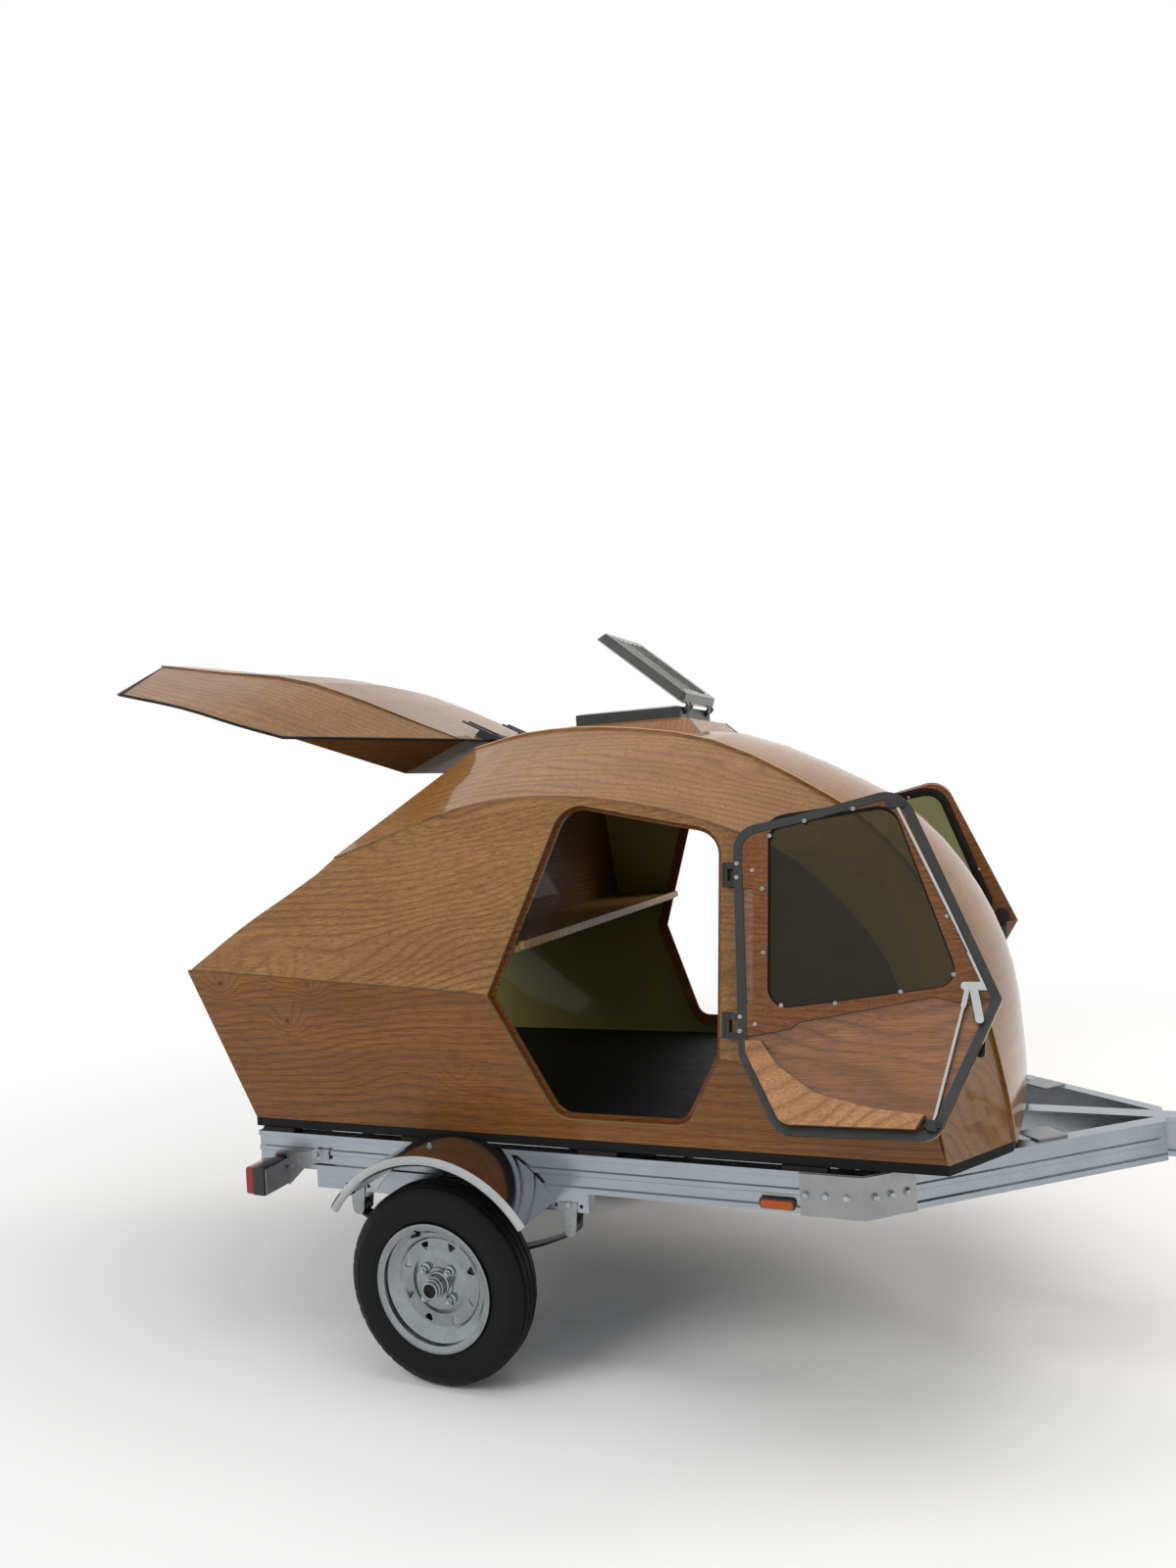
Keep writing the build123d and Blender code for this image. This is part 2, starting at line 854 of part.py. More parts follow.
def frame_web(side):
    """Three-cornered board below the slanting front edge of the hatch."""
    flip = Vector(1, side, 1)
    points = [cut_place(frame_start), cut_place(1), Vector(*frame_apex)]
    places = [Vector(axle_x + p.X, flip.Y * p.Y, floor_top + p.Z) for p in points]
    along = (places[1] - places[0]).normalized()
    normal = along.cross(places[2] - places[0]).normalized() * -side
    plane = Plane(origin=places[0], x_dir=along, z_dir=normal)
    corners = [plane.to_local_coords(p) for p in places]
    low, high, apex = [(corner.X, corner.Y) for corner in corners]
    rise = math.copysign(frame_above, -apex[1])
    with BuildPart() as web:
        with BuildSketch(plane):
            quad([low, (low[0], rise), (high[0], rise), high, apex])
        extrude(amount=frame_board)
    return web.part


with BuildPart() as hatch_spar:
    seam_x, seam_y, seam_z = cut_seam
    foot_x, _, foot_z = frame_apex
    with BuildSketch(side_plane(seam_y + frame_joint)):
        quad([
            (seam_x - frame_set, floor_top + seam_z - frame_above), (foot_x, floor_top + foot_z),
            (foot_x - frame_board, floor_top + foot_z),
            (seam_x - frame_set - frame_board, floor_top + seam_z - frame_above),
        ])
    extrude(amount=2 * (seam_y + frame_joint))

with BuildPart() as hatch_frame:
    for side in sides:
        add(frame_web(side))
    add(hatch_spar.part)
    for side in sides:
        add(side_plank(side, tail_stations), mode=Mode.SUBTRACT)
    add(centre_plank(tail_stations), mode=Mode.SUBTRACT)
with BuildPart() as hatch_frame_open:
    add(hatch_frame.solids().sort_by(SortBy.VOLUME)[-1].rotate(hatch_hinge, hatch_angle))
save(hatch_frame_open, "hatch_frame")

with BuildPart() as hatch_planks:
    for side in sides:
        add(side_plank(side, tail_stations).rotate(hatch_hinge, hatch_angle))
save(hatch_planks, "hatch_planks")
with BuildPart() as hatch_centre:
    add(centre_plank(tail_stations).rotate(hatch_hinge, hatch_angle))
save(hatch_centre, "hatch_centre")

# Hatch hinges on the roof: bases in front of the gap, leaves behind it
base_side = [
    (-46, 1098), (-40, 1094), (-34, 1100), (-8, 1088), (14, 1084), (14, 1030), (-30, 1030), (-34, 1080),
]
leaf_side = [
    (-104, 1072), (-64, 1090), (-46, 1104), (-34, 1100), (-40, 1094), (-52, 1082), (-56, 1070),
    (-62, 1063), (-104, 1046),
]
with BuildPart() as roof_hinges:
    for y in hatch_hinge_places:
        with BuildSketch(side_plane(y + hatch_knuckle_half)):
            quad([(x, floor_top + z) for x, z in base_side])
            with Locations((hatch_hinge_x, floor_top + hatch_hinge_height)):
                Circle(hatch_hinge_radius)
        extrude(amount=2 * hatch_knuckle_half)
        with BuildSketch(side_plane(y + hatch_leaf_half)):
            with Locations((hatch_hinge_x, floor_top + hatch_hinge_height)):
                Circle(hatch_pin_radius)
        extrude(amount=2 * hatch_leaf_half)
    add(under_centre(roof_stations[:4], space_depth), mode=Mode.SUBTRACT)
save(roof_hinges, "hatch_hinge_bases")

with BuildPart() as hatch_leaves:
    for y in hatch_hinge_places:
        for end in sides:
            with BuildSketch(side_plane(y + end * (hatch_knuckle_half + knuckle_gap))):
                quad([(x, floor_top + z) for x, z in leaf_side])
                with Locations((hatch_hinge_x, floor_top + hatch_hinge_height)):
                    Circle(hatch_hinge_radius)
                    Circle(hatch_pin_radius + pin_fit, mode=Mode.SUBTRACT)
            extrude(amount=-end * (hatch_leaf_half - hatch_knuckle_half - knuckle_gap))
    add(under_centre(tail_stations[-4:], space_depth), mode=Mode.SUBTRACT)
with BuildPart() as hatch_leaves_open:
    add(hatch_leaves.part.rotate(hatch_hinge, hatch_angle))
save(hatch_leaves_open, "hatch_hinge_leaves")

# Side rails and tongue rails, extruded with lips and a middle ridge
lip = 14
lip_slope = 3
groove = 7
ridge = 12
ridge_set = 2
rail_wall = 4
lip_end = lip + lip_slope


def rail_section():
    """Rail section in the current sketch, its outer face at local x 0 and its top at local y 0."""
    half = rail_height / 2
    quad([
        (0, 0), (rail_width, 0), (rail_width, -lip), (rail_width - groove, -lip_end),
        (rail_width - groove, -rail_height + lip_end), (rail_width, -rail_height + lip),
        (rail_width, -rail_height), (0, -rail_height), (0, -rail_height + lip),
        (groove, -rail_height + lip_end), (groove, -half - ridge / 2 - lip_slope),
        (ridge_set, -half - ridge / 2), (ridge_set, -half + ridge / 2),
        (groove, -half + ridge / 2 + lip_slope), (groove, -lip_end), (0, -lip),
    ])
    with Locations((rail_width / 2, -half)):
        Rectangle(rail_width - 2 * (groove + rail_wall), rail_height - 2 * lip, mode=Mode.SUBTRACT)


tongue_run = tongue_tip - rail_bend
tongue_angle = math.degrees(math.atan2(rail_y - tongue_tip_y, tongue_run))
mitre = math.radians(tongue_angle / 2)
with BuildPart() as side_rails:
    with BuildSketch(Plane(origin=(axle_x + rail_rear, -rail_y, rail_top), x_dir=(0, 1, 0), z_dir=(1, 0, 0))):
        rail_section()
    extrude(amount=rail_bend - rail_rear + 30)
    split(
        bisect_by=Plane(
            origin=(axle_x + rail_bend - fit_gap / 2, -rail_y, 0),
            z_dir=(math.cos(mitre), math.sin(mitre), 0),
        ),
        keep=Keep.BOTTOM,
    )
    mirror(about=Plane.XZ)
save(side_rails, "side_rails")

heading = math.radians(tongue_angle)
with BuildPart() as tongue_rails:
    with BuildSketch(
        Plane(
            origin=(axle_x + rail_bend, -rail_y, rail_top),
            x_dir=(-math.sin(heading), math.cos(heading), 0),
            z_dir=(math.cos(heading), math.sin(heading), 0),
        )
    ):
        rail_section()
    extrude(amount=1000, both=True)
    split(
        bisect_by=Plane(
            origin=(axle_x + rail_bend + fit_gap / 2, -rail_y, 0),
            z_dir=(math.cos(mitre), math.sin(mitre), 0),
        ),
        keep=Keep.TOP,
    )
    split(bisect_by=Plane(origin=(axle_x + tongue_tip, 0, 0), z_dir=(1, 0, 0)), keep=Keep.BOTTOM)
    split(bisect_by=Plane(origin=(0, -beam_width / 2 - fit_gap, 0), z_dir=(0, 1, 0)), keep=Keep.BOTTOM)
    mirror(about=Plane.XZ)
save(tongue_rails, "tongue_rails")

# Flat tabs on the tongue rails
tab_x = 1490
tab_length = 92
tab_width = 81
tab_thickness = 5
tab_inset = 15
tab_corner = 6
tab_y = -rail_y + (tab_x - rail_bend) * math.tan(heading)
with BuildPart() as tongue_tabs:
    with BuildSketch(
        Plane(
            origin=(axle_x + tab_x, tab_y, rail_top),
            x_dir=(math.cos(heading), math.sin(heading), 0),
            z_dir=(0, 0, 1),
        )
    ):
        with Locations((tab_length / 2, tab_inset + tab_width / 2)):
            RectangleRounded(tab_length, tab_width, tab_corner)
    extrude(amount=tab_thickness)
    mirror(about=Plane.XZ)
save(tongue_tabs, "tongue_tabs")

# Tongue beam, a hollow extrusion with the same lips
with BuildPart() as tongue_beam:
    with BuildSketch(Plane(origin=(axle_x + beam_rear, 0, rail_top), x_dir=(0, 1, 0), z_dir=(1, 0, 0))):
        wide = beam_width / 2
        half_section = [
            (wide, 0), (wide, -lip), (wide - groove, -lip_end), (wide - groove, -rail_height + lip_end),
            (wide, -rail_height + lip), (wide, -rail_height),
        ]
        quad(half_section + [(-out, z) for out, z in reversed(half_section)])
        with Locations((0, -rail_height / 2)):
            Rectangle(beam_width - 2 * (groove + rail_wall), rail_height - 2 * lip, mode=Mode.SUBTRACT)
    extrude(amount=beam_front - beam_rear)
save(tongue_beam, "tongue_beam")

# Cross members between the rails
cross_width = 41
cross_drop = 8
inner_y = rail_y - rail_width - fit_gap
cross_places = (-640, -330, 330, 539)
split_cross_x = 1050
cross_z = rail_top - cross_drop - cross_height / 2
with BuildPart() as cross_members:
    for x in cross_places:
        with Locations((axle_x + x, 0, cross_z)):
            Box(cross_width, 2 * inner_y, cross_height)
    for side in sides:
        reach = inner_y - beam_width / 2 - fit_gap
        with Locations((axle_x + split_cross_x, side * (inner_y - reach / 2), cross_z)):
            Box(cross_width, reach, cross_height)
save(cross_members, "cross_members")

# Bent corner plates over the rail joints
plate_rear = 946
plate_reach = 70
plate_thickness = 6
plate_drop = 2
plate_y = -rail_y - fit_gap
plate_end_x = rail_bend + plate_reach * math.cos(heading)
plate_end_y = plate_y + plate_reach * math.sin(heading)
with BuildPart() as corner_plates:
    with BuildSketch(flat_plane(rail_bottom - plate_drop)):
        quad([
            (plate_rear, plate_y),
            (rail_bend, plate_y),
            (plate_end_x, plate_end_y),
            (
                plate_end_x + plate_thickness * math.sin(heading),
                plate_end_y - plate_thickness * math.cos(heading),
            ),
            (rail_bend + plate_thickness * math.tan(mitre), plate_y - plate_thickness),
            (plate_rear, plate_y - plate_thickness),
        ])
    extrude(amount=rail_height)
    mirror(about=Plane.XZ)
save(corner_plates, "corner_plates")

# Mounting blocks between the frame and the floor
block_places = (-600, -120, 420, 960)
block_length = 110
with BuildPart() as mounting_blocks:
    for x in block_places:
        for side in sides:
            with Locations((axle_x + x, side * (rail_y - rail_width / 2), rail_top + block_height / 2)):
                Box(block_length, rail_width, block_height)
save(mounting_blocks, "mounting_blocks")

# Spring rails under the side rails, leaf springs, hangers and axle
spring_rail_rear = -470
spring_rail_front = 387
spring_y = rail_y - rail_width / 2
eye_x = 330
hole_spread = 36
hole_drop = 34
hole_radius = 5.5
with BuildPart() as spring_rails:
    with Locations((
        axle_x + (spring_rail_rear + spring_rail_front) / 2,
        -spring_y,
        rail_bottom - spring_rail_height / 2,
    )):
        Box(spring_rail_front - spring_rail_rear, rail_width, spring_rail_height)
    with BuildSketch(side_plane(-spring_y)):
        for x in (-eye_x, eye_x):
            with Locations(*[(x + end * hole_spread, rail_bottom - hole_drop) for end in sides]):
                Circle(hole_radius)
    extrude(amount=rail_width, both=True, mode=Mode.SUBTRACT)
    mirror(about=Plane.XZ)
save(spring_rails, "spring_rails")

eye_z = 385
eye_radius = 16
leaf_width = 40
leaf_thickness = 7
leaf_overlap = 0.5
short_leaf = 200
axle_size = 44
spring_low = tyre_radius + axle_size / 2 + leaf_thickness
short_drop = (eye_z - eye_radius - spring_low) * (short_leaf / eye_x) ** 2
with BuildPart() as springs:
    with BuildSketch(side_plane(-spring_y + leaf_width / 2)):
        with BuildLine():
            lower = ThreePointArc((-eye_x, eye_z - eye_radius), (0, spring_low), (eye_x, eye_z - eye_radius))
            upper = ThreePointArc(
                (-eye_x, eye_z - eye_radius + leaf_thickness),
                (0, spring_low + leaf_thickness),
                (eye_x, eye_z - eye_radius + leaf_thickness),
            )
            Line(lower @ 0, upper @ 0)
            Line(lower @ 1, upper @ 1)
        make_face()
        with BuildLine():
            under = ThreePointArc(
                (-short_leaf, spring_low + short_drop - leaf_thickness),
                (0, spring_low - leaf_thickness),
                (short_leaf, spring_low + short_drop - leaf_thickness),
            )
            over = ThreePointArc(
                (-short_leaf, spring_low + short_drop),
                (0, spring_low + leaf_overlap),
                (short_leaf, spring_low + short_drop),
            )
            Line(under @ 0, over @ 0)
            Line(under @ 1, over @ 1)
        make_face()
        with Locations((-eye_x, eye_z), (eye_x, eye_z)):
            Circle(eye_radius)
    extrude(amount=leaf_width)
    mirror(about=Plane.XZ)
save(springs, "leaf_springs")

hanger_thickness = 4
hanger_rise = 25
hanger_foot = 18
hanger_half = 26
with BuildPart() as hangers:
    for x in (-eye_x, eye_x):
        for inward in (-1, 1):
            y = -spring_y + inward * rail_width / 2
            top = rail_bottom - spring_rail_height + hanger_rise
            with BuildSketch(side_plane(y)):
                with BuildLine():
                    Polyline(
                        (x - hanger_foot, eye_z), (x - hanger_half, top), (x + hanger_half, top),
                        (x + hanger_foot, eye_z),
                    )
                    ThreePointArc((x + hanger_foot, eye_z), (x, eye_z - hanger_foot), (x - hanger_foot, eye_z))
                make_face()
            extrude(amount=-inward * hanger_thickness)
    mirror(about=Plane.XZ)
save(hangers, "spring_hangers")

spindle_start = 640
spindle_end = wheel_y + 30
with BuildPart() as axle:
    with Locations((axle_x, 0, tyre_radius)):
        Box(axle_size, 2 * spindle_start, axle_size)
    with BuildSketch(Plane(origin=(axle_x, 0, tyre_radius), x_dir=(1, 0, 0), z_dir=(0, 1, 0))):
        Circle(spindle_radius)
    extrude(amount=spindle_end, both=True)
save(axle, "axle")

# Wheels: tyre, rim with its pierced disc and lobed boss, and hub with its cap. Profiles give the distance out
# from the wheel's middle plane, then the radius.
half_tyre = tyre_width / 2
half_rim = rim_width / 2
bead_rise = 15
bead = rim_radius - bead_rise
flange = 8
bead_half = half_rim - flange - 1
crown_half = 22
widest = (rim_radius + tyre_radius) / 2 - 2
tyre_half_profile = [
    (bead_half, bead), (bead_half, rim_radius + 1), (half_tyre - 3, rim_radius + 20), (half_tyre, widest),
    (half_tyre - 4, tyre_radius - 24), (half_tyre - 16, tyre_radius - 7), (crown_half, tyre_radius),
]
rim_sheet = 3.5
disc_at = half_rim - disc_inset
well_radius = 138
well_half = 14
disc_radius = 122
disc_neck = 34
boss_height = 4
boss_radius = 42
lobe_radius = 15
vent_reach = (86, 111)
rim_profile = [
    (-half_rim, rim_radius), (-half_rim + flange, rim_radius - 3), (-half_rim + flange, bead - 0.5),
    (-well_half - 16, bead - 0.5), (-well_half, well_radius), (disc_at, well_radius),
    (disc_at + 12, bead - 0.5),
    (half_rim - flange, bead - 0.5), (half_rim - flange, rim_radius - 3), (half_rim, rim_radius),
    (half_rim, rim_radius - 6), (half_rim - flange + 4, bead - rim_sheet), (disc_at + 14, bead - rim_sheet),
    (disc_at + 4, well_radius - rim_sheet), (disc_at, disc_radius), (disc_at - 6, disc_radius - 6),
    (disc_at - 6, 82), (disc_at, 68), (disc_at, disc_neck), (disc_at - 4, disc_neck), (disc_at - 4, 66),
    (disc_at - 10, 80), (disc_at - 10, disc_radius - 5), (disc_at - 5, well_radius - rim_sheet),
    (-well_half, well_radius - rim_sheet), (-well_half - 17, bead - rim_sheet), (-half_rim, bead - rim_sheet),
]
hub_face = disc_at - 4.3
hub_rear = -60
hub_flange = 65
bore_end = 36
cap_end = half_rim + 13
hub_profile = [
    (hub_rear, spindle_radius + running_gap), (bore_end, spindle_radius + running_gap), (bore_end, 0),
    (cap_end - 6, 0), (cap_end - 6, 17), (cap_end, 18), (cap_end, 23), (cap_end - 9, 23), (cap_end - 10, 26),
    (cap_end - 20, 26), (cap_end - 21, 28), (disc_at + 8, 29), (disc_at + 6, disc_neck - 1),
    (hub_face, disc_neck - 1), (hub_face, hub_flange), (hub_face - 10, hub_flange), (hub_face - 12, 40),
    (hub_rear, 34),
]
for side in sides:
    wheel_plane = Plane(origin=(axle_x, side * wheel_y, tyre_radius), x_dir=(1, 0, 0), z_dir=(0, side, 0))
    hub_axis = Axis((axle_x, side * wheel_y, tyre_radius), (0, side, 0))
    profile_plane = Plane(origin=(axle_x, side * wheel_y, tyre_radius), x_dir=(0, side, 0), z_dir=(side, 0, 0))
    with BuildPart() as tyre:
        with BuildSketch(profile_plane):
            quad(tyre_half_profile + [(-out, radius) for out, radius in reversed(tyre_half_profile)])
        revolve(axis=hub_axis)
    save(tyre, f"tyre_{names[side]}")

    with BuildPart() as rim_wheel:
        with BuildSketch(profile_plane):
            quad(rim_profile)
        revolve(axis=hub_axis)
        with BuildSketch(wheel_plane.offset(disc_at)):
            Circle(boss_radius)
            with PolarLocations(lug_circle, 4, start_angle=45):
                Circle(lobe_radius)
            Circle(disc_neck, mode=Mode.SUBTRACT)
        extrude(amount=boss_height)
        with BuildSketch(wheel_plane.offset(disc_at + 2)):
            with PolarLocations(0, 8, start_angle=22.5):
                with Locations((sum(vent_reach) / 2, 0)):
                    Polygon((-12, 0), (12, -15), (12, 15), align=None)
            fillet(vertices(), radius=4)
        extrude(amount=-rim_width, mode=Mode.SUBTRACT)
    save(rim_wheel, f"rim_{names[side]}")

    with BuildPart() as hub:
        with BuildSketch(profile_plane):
            quad(hub_profile)
        revolve(axis=hub_axis)
    save(hub, f"hub_{names[side]}")

# Fenders, bent over the wheels, with a lip outside and a flange against the frame
fender_radius = 351
fender_sweep = 112
fender_outer = 835
fender_inner = rail_y + 0.5
fender_sheet = 2.5
fender_flange = 30
bead_depth = 26
bead_out = 9


def fender(side):
    """One fender swept about the wheel's axis, centred over the wheel."""
    with BuildPart() as sheet:
        with BuildSketch(Plane(origin=(axle_x, 0, tyre_radius), x_dir=(0, side, 0), z_dir=(side, 0, 0))):
            under = fender_radius - fender_sheet
            root = fender_outer - bead_out
            middle = fender_radius - bead_depth / 2
            low = fender_radius - bead_depth
            quad([
                (fender_inner, fender_radius), (root, fender_radius), (fender_outer - 2, fender_radius - 6),
                (fender_outer, middle), (fender_outer - 2, low + 6), (root, low),
                (root - 3, low + fender_sheet), (fender_outer - 5, low + 8), (fender_outer - 3, middle),
                (root, under),
                (fender_inner + fender_sheet, under),
                (fender_inner + fender_sheet, fender_radius - fender_flange),
                (fender_inner, fender_radius - fender_flange),
            ])
        revolve(axis=Axis((axle_x, 0, tyre_radius), (0, 1, 0)), revolution_arc=fender_sweep)
    return sheet.part.rotate(Axis((axle_x, 0, tyre_radius), (0, 1, 0)), -fender_sweep / 2)


with BuildPart() as fenders:
    for side in sides:
        add(fender(side))
save(fenders, "fenders")

# Tail lamps, their brackets and the side marker lamps
lamp_rear = -642
lamp_length = 68
lamp_width = 100
lamp_height = 82
lamp_z = 432
lamp_stand_off = 8
lamp_front = lamp_rear + lamp_length
with BuildPart() as lamps:
    with Locations((
        axle_x + lamp_front - lamp_length / 2,
        -rail_y - lamp_stand_off - lamp_width / 2,
        lamp_z + lamp_height / 2,
    )):
        Box(lamp_length, lamp_width, lamp_height)
    mirror(about=Plane.XZ)
save(lamps, "tail_lamps")

bracket_sheet = 2
bracket_back = 4
bracket_profile = [
    (lamp_front + fit_gap, lamp_z), (lamp_front + 6, lamp_z), (lamp_front + 70, rail_bottom + 10),
    (lamp_front + 150, rail_bottom + 30), (lamp_front + 150, rail_bottom + 62),
    (lamp_front + fit_gap, rail_bottom + 42),
]
with BuildPart() as lamp_brackets:
    with BuildSketch(side_plane(-rail_y - bracket_sheet)):
        quad(bracket_profile)
    extrude(amount=-(bracket_sheet - fit_gap))
    with Locations((
        axle_x + lamp_front + fit_gap + bracket_back / 2,
        -rail_y - bracket_sheet - lamp_width / 2,
        lamp_z + lamp_height / 2,
    )):
        Box(bracket_back, lamp_width, lamp_height - 10)
    mirror(about=Plane.XZ)
save(lamp_brackets, "lamp_brackets")

marker_rear = 844
marker_length = 90
marker_depth = 12
marker_height = 26
marker_rise = 20
with BuildPart() as markers:
    with Locations((
        axle_x + marker_rear + marker_length / 2,
        -rail_y - marker_depth / 2,
        rail_bottom + marker_rise,
    )):
        Box(marker_length, marker_depth, marker_height)
    mirror(about=Plane.XZ)
save(markers, "side_markers")

# Coupler with its ball socket
coupler_z = rail_bottom + 18
coupler_width = 64
coupler_rear = beam_front + fit_gap
coupler_tip = ball_x + 46
coupler_floor = coupler_z - 14
socket_radius = ball_radius + ball_fit
with BuildPart() as coupler:
    with BuildSketch(side_plane(coupler_width / 2)):
        with BuildLine():
            Polyline(
                (coupler_rear, rail_bottom), (coupler_rear, rail_top), (coupler_rear + 40, rail_top),
                (ball_x - 10, coupler_z + 52), (ball_x + 26, coupler_z + 46),
            )
            ThreePointArc(
                (ball_x + 26, coupler_z + 46), (coupler_tip - 2, coupler_z + 26), (coupler_tip, coupler_z)
            )
            Polyline(
                (coupler_tip, coupler_z), (coupler_tip, coupler_floor), (coupler_rear + 40, coupler_floor),
                (coupler_rear, rail_bottom),
            )
        make_face()
    extrude(amount=coupler_width)
    with BuildSketch(side_plane(0)):
        quad([
            (ball_x, rail_bottom - 10), (ball_x + socket_radius, rail_bottom - 10),
            (ball_x + socket_radius, coupler_z + 6), (ball_x + socket_radius / 2, coupler_z + socket_radius),
            (ball_x, coupler_z + socket_radius),
        ])
    revolve(axis=Axis((axle_x + ball_x, 0, 0), (0, 0, 1)), mode=Mode.SUBTRACT)
save(coupler, "coupler")

# Jack beside the beam: clamp and outer tube, then the leg with its foot on the ground
clamp_plate = 10
clamp_neck = 8
jack_y = -(beam_width / 2 + clamp_plate + 2 + jack_tube_radius)
jack_low = 230
jack_high = 690
leg_radius = 22
leg_fit = 0.6
leg_top = 576
foot_length = 150
foot_width = 120
foot_corner = 20
foot_height = 8
with BuildPart() as jack_tube:
    with BuildSketch(Plane.XY.offset(jack_low)):
        with Locations((axle_x + jack_x, jack_y)):
            Circle(jack_tube_radius)
            Circle(leg_radius + leg_fit, mode=Mode.SUBTRACT)
    extrude(amount=jack_high - jack_low)
    with Locations((axle_x + jack_x, -beam_width / 2 - clamp_plate / 2 - fit_gap, rail_top - rail_height / 2)):
        Box(110, clamp_plate, 90)
    with Locations((axle_x + jack_x, -beam_width / 2 - clamp_plate - 3, rail_top - rail_height / 2)):
        Box(40, clamp_neck, 70)
save(jack_tube, "jack_tube")

with BuildPart() as jack_leg:
    with BuildSketch(Plane.XY.offset(foot_height - 2)):
        with Locations((axle_x + jack_x, jack_y)):
            Circle(leg_radius)
    extrude(amount=leg_top - foot_height + 2)
    with BuildSketch(Plane.XY):
        with Locations((axle_x + jack_x, jack_y)):
            RectangleRounded(foot_length, foot_width, foot_corner)
    extrude(amount=foot_height)
save(jack_leg, "jack_leg")
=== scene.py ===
import bpy
import bmesh
import json
import math
from mathutils import Matrix, Vector


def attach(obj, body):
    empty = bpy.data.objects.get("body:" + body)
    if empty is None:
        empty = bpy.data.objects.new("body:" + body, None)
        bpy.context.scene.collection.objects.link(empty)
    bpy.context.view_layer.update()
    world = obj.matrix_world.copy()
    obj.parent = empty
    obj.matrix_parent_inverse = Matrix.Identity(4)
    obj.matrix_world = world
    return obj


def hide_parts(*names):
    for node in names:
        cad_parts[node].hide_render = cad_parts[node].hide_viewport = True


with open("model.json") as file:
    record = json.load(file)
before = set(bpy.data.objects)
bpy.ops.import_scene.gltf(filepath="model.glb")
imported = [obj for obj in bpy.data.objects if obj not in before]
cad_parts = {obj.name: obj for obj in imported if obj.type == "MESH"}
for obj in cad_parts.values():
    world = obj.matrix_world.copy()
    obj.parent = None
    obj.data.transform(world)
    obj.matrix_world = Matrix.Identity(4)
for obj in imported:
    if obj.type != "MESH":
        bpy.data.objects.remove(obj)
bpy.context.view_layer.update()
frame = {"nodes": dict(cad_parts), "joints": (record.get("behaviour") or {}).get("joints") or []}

# Places shared with the CAD, in millimetres: lengths ahead of the axle, heights above the ground unless said
AXLE_X = -775.5
FLOOR_TOP = 622
SKIN = 8
WHEEL_Y = 751
WHEEL_Z = 262
RAIL_Y = 644
RAIL_BEND = 1097
TONGUE_TIP = (1786, 66)
HEADING = math.atan2(RAIL_Y - TONGUE_TIP[1], TONGUE_TIP[0] - RAIL_BEND)
FLOOR_HALF = 638
FLARE = 0.25
CABIN_MIDDLE = (330, 0, 1050)
SIDES = {"right": -1, "left": 1}

# Half-lines of the cabin above its floor: the chine, then the lap, the seam and the centre plank's crown
CHINE_ROWS = [
    (-812, 458), (-600, 447), (-301, 426), (0, 409), (183, 391),
    (480, 328), (783, 243), (1040, 172), (1300, 108),
]
TAIL_ROWS = [
    (-812, 745, 458, -965, 448, 458, 20),
    (-640, 712, 580, -802, 396, 594, 18),
    (-480, 684, 675, -538, 368, 804, 18),
    (-348, 657, 757, -68, 300, 1052, 14),
]
ROOF_ROWS = [
    (-340, 655, 763, -58, 300, 1056, 12),
    (65, 615, 884, 118, 300, 1084, 5),
    (357, 600, 897, 374, 300, 1082, 4),
    (650, 590, 845, 700, 302, 1020, 26),
    (905, 555, 740, 1003, 308, 853, 52),
    (1040, 555, 628, 1156, 316, 727, 66),
    (1150, 582, 498, 1278, 328, 541, 74),
    (1218, 612, 338, 1356, 348, 348, 66),
    (1268, 646, 116, 1404, 396, 122, 34),
    (1288, 638, 0, 1420, 428, 0, 16),
]
WINDOW = [(262, 420, 45), (705, 352, 45), (692, 800, 52), (392, 838, 52)]


def fair(values, step):
    """Smooth value at a fractional row of a table's column."""
    row = min(int(step), len(values) - 2)
    t = step - row
    start, end = values[row], values[row + 1]
    before = values[row - 1] if row else 2 * start - end
    after = values[row + 2] if row + 2 < len(values) else 2 * end - start
    leave, arrive = (end - before) / 2, (after - start) / 2
    return (
        (2 * t**3 - 3 * t**2 + 1) * start + (t**3 - 2 * t**2 + t) * leave
        + (3 * t**2 - 2 * t**3) * end + (t**3 - t**2) * arrive
    )


def fair_rows(rows, per_gap=3):
    """Table with smooth rows between its own."""
    columns = list(zip(*rows))
    steps = range(per_gap * (len(rows) - 1) + 1)
    return [[fair(column, step / per_gap) for column in columns] for step in steps]


TAIL = fair_rows(TAIL_ROWS)
ROOF = fair_rows(ROOF_ROWS)
LAPS = [row[:3] for row in TAIL[:-1] + ROOF]


def chine(x):
    """Height of the cabin side's chine above the floor."""
    row = max(i for i in range(len(CHINE_ROWS) - 1) if CHINE_ROWS[i][0] <= x or i == 0)
    low, high = CHINE_ROWS[row][0], CHINE_ROWS[row + 1][0]
    return fair([height for _, height in CHINE_ROWS], row + (x - low) / (high - low))


def side_y(x, height):
    """Half width of the cabin side at a height above the floor."""
    knee = chine(x)
    if height <= knee:
        return FLOOR_HALF + FLARE * height
    near, far = next((a, b) for a, b in zip(LAPS, LAPS[1:]) if a[0] <= x <= b[0] or b is LAPS[-1])
    t = (x - near[0]) / (far[0] - near[0])
    lap_y, lap_z = [near[k] + t * (far[k] - near[k]) for k in (1, 2)]
    foot = FLOOR_HALF + FLARE * knee
    return foot + (lap_y - foot) * (height - knee) / (lap_z - knee)


def spot(x, y, z):
    """Point in metres from millimetres ahead of the axle, to the left and above the ground."""
    return Vector(((AXLE_X + x) / 1000, y / 1000, z / 1000))


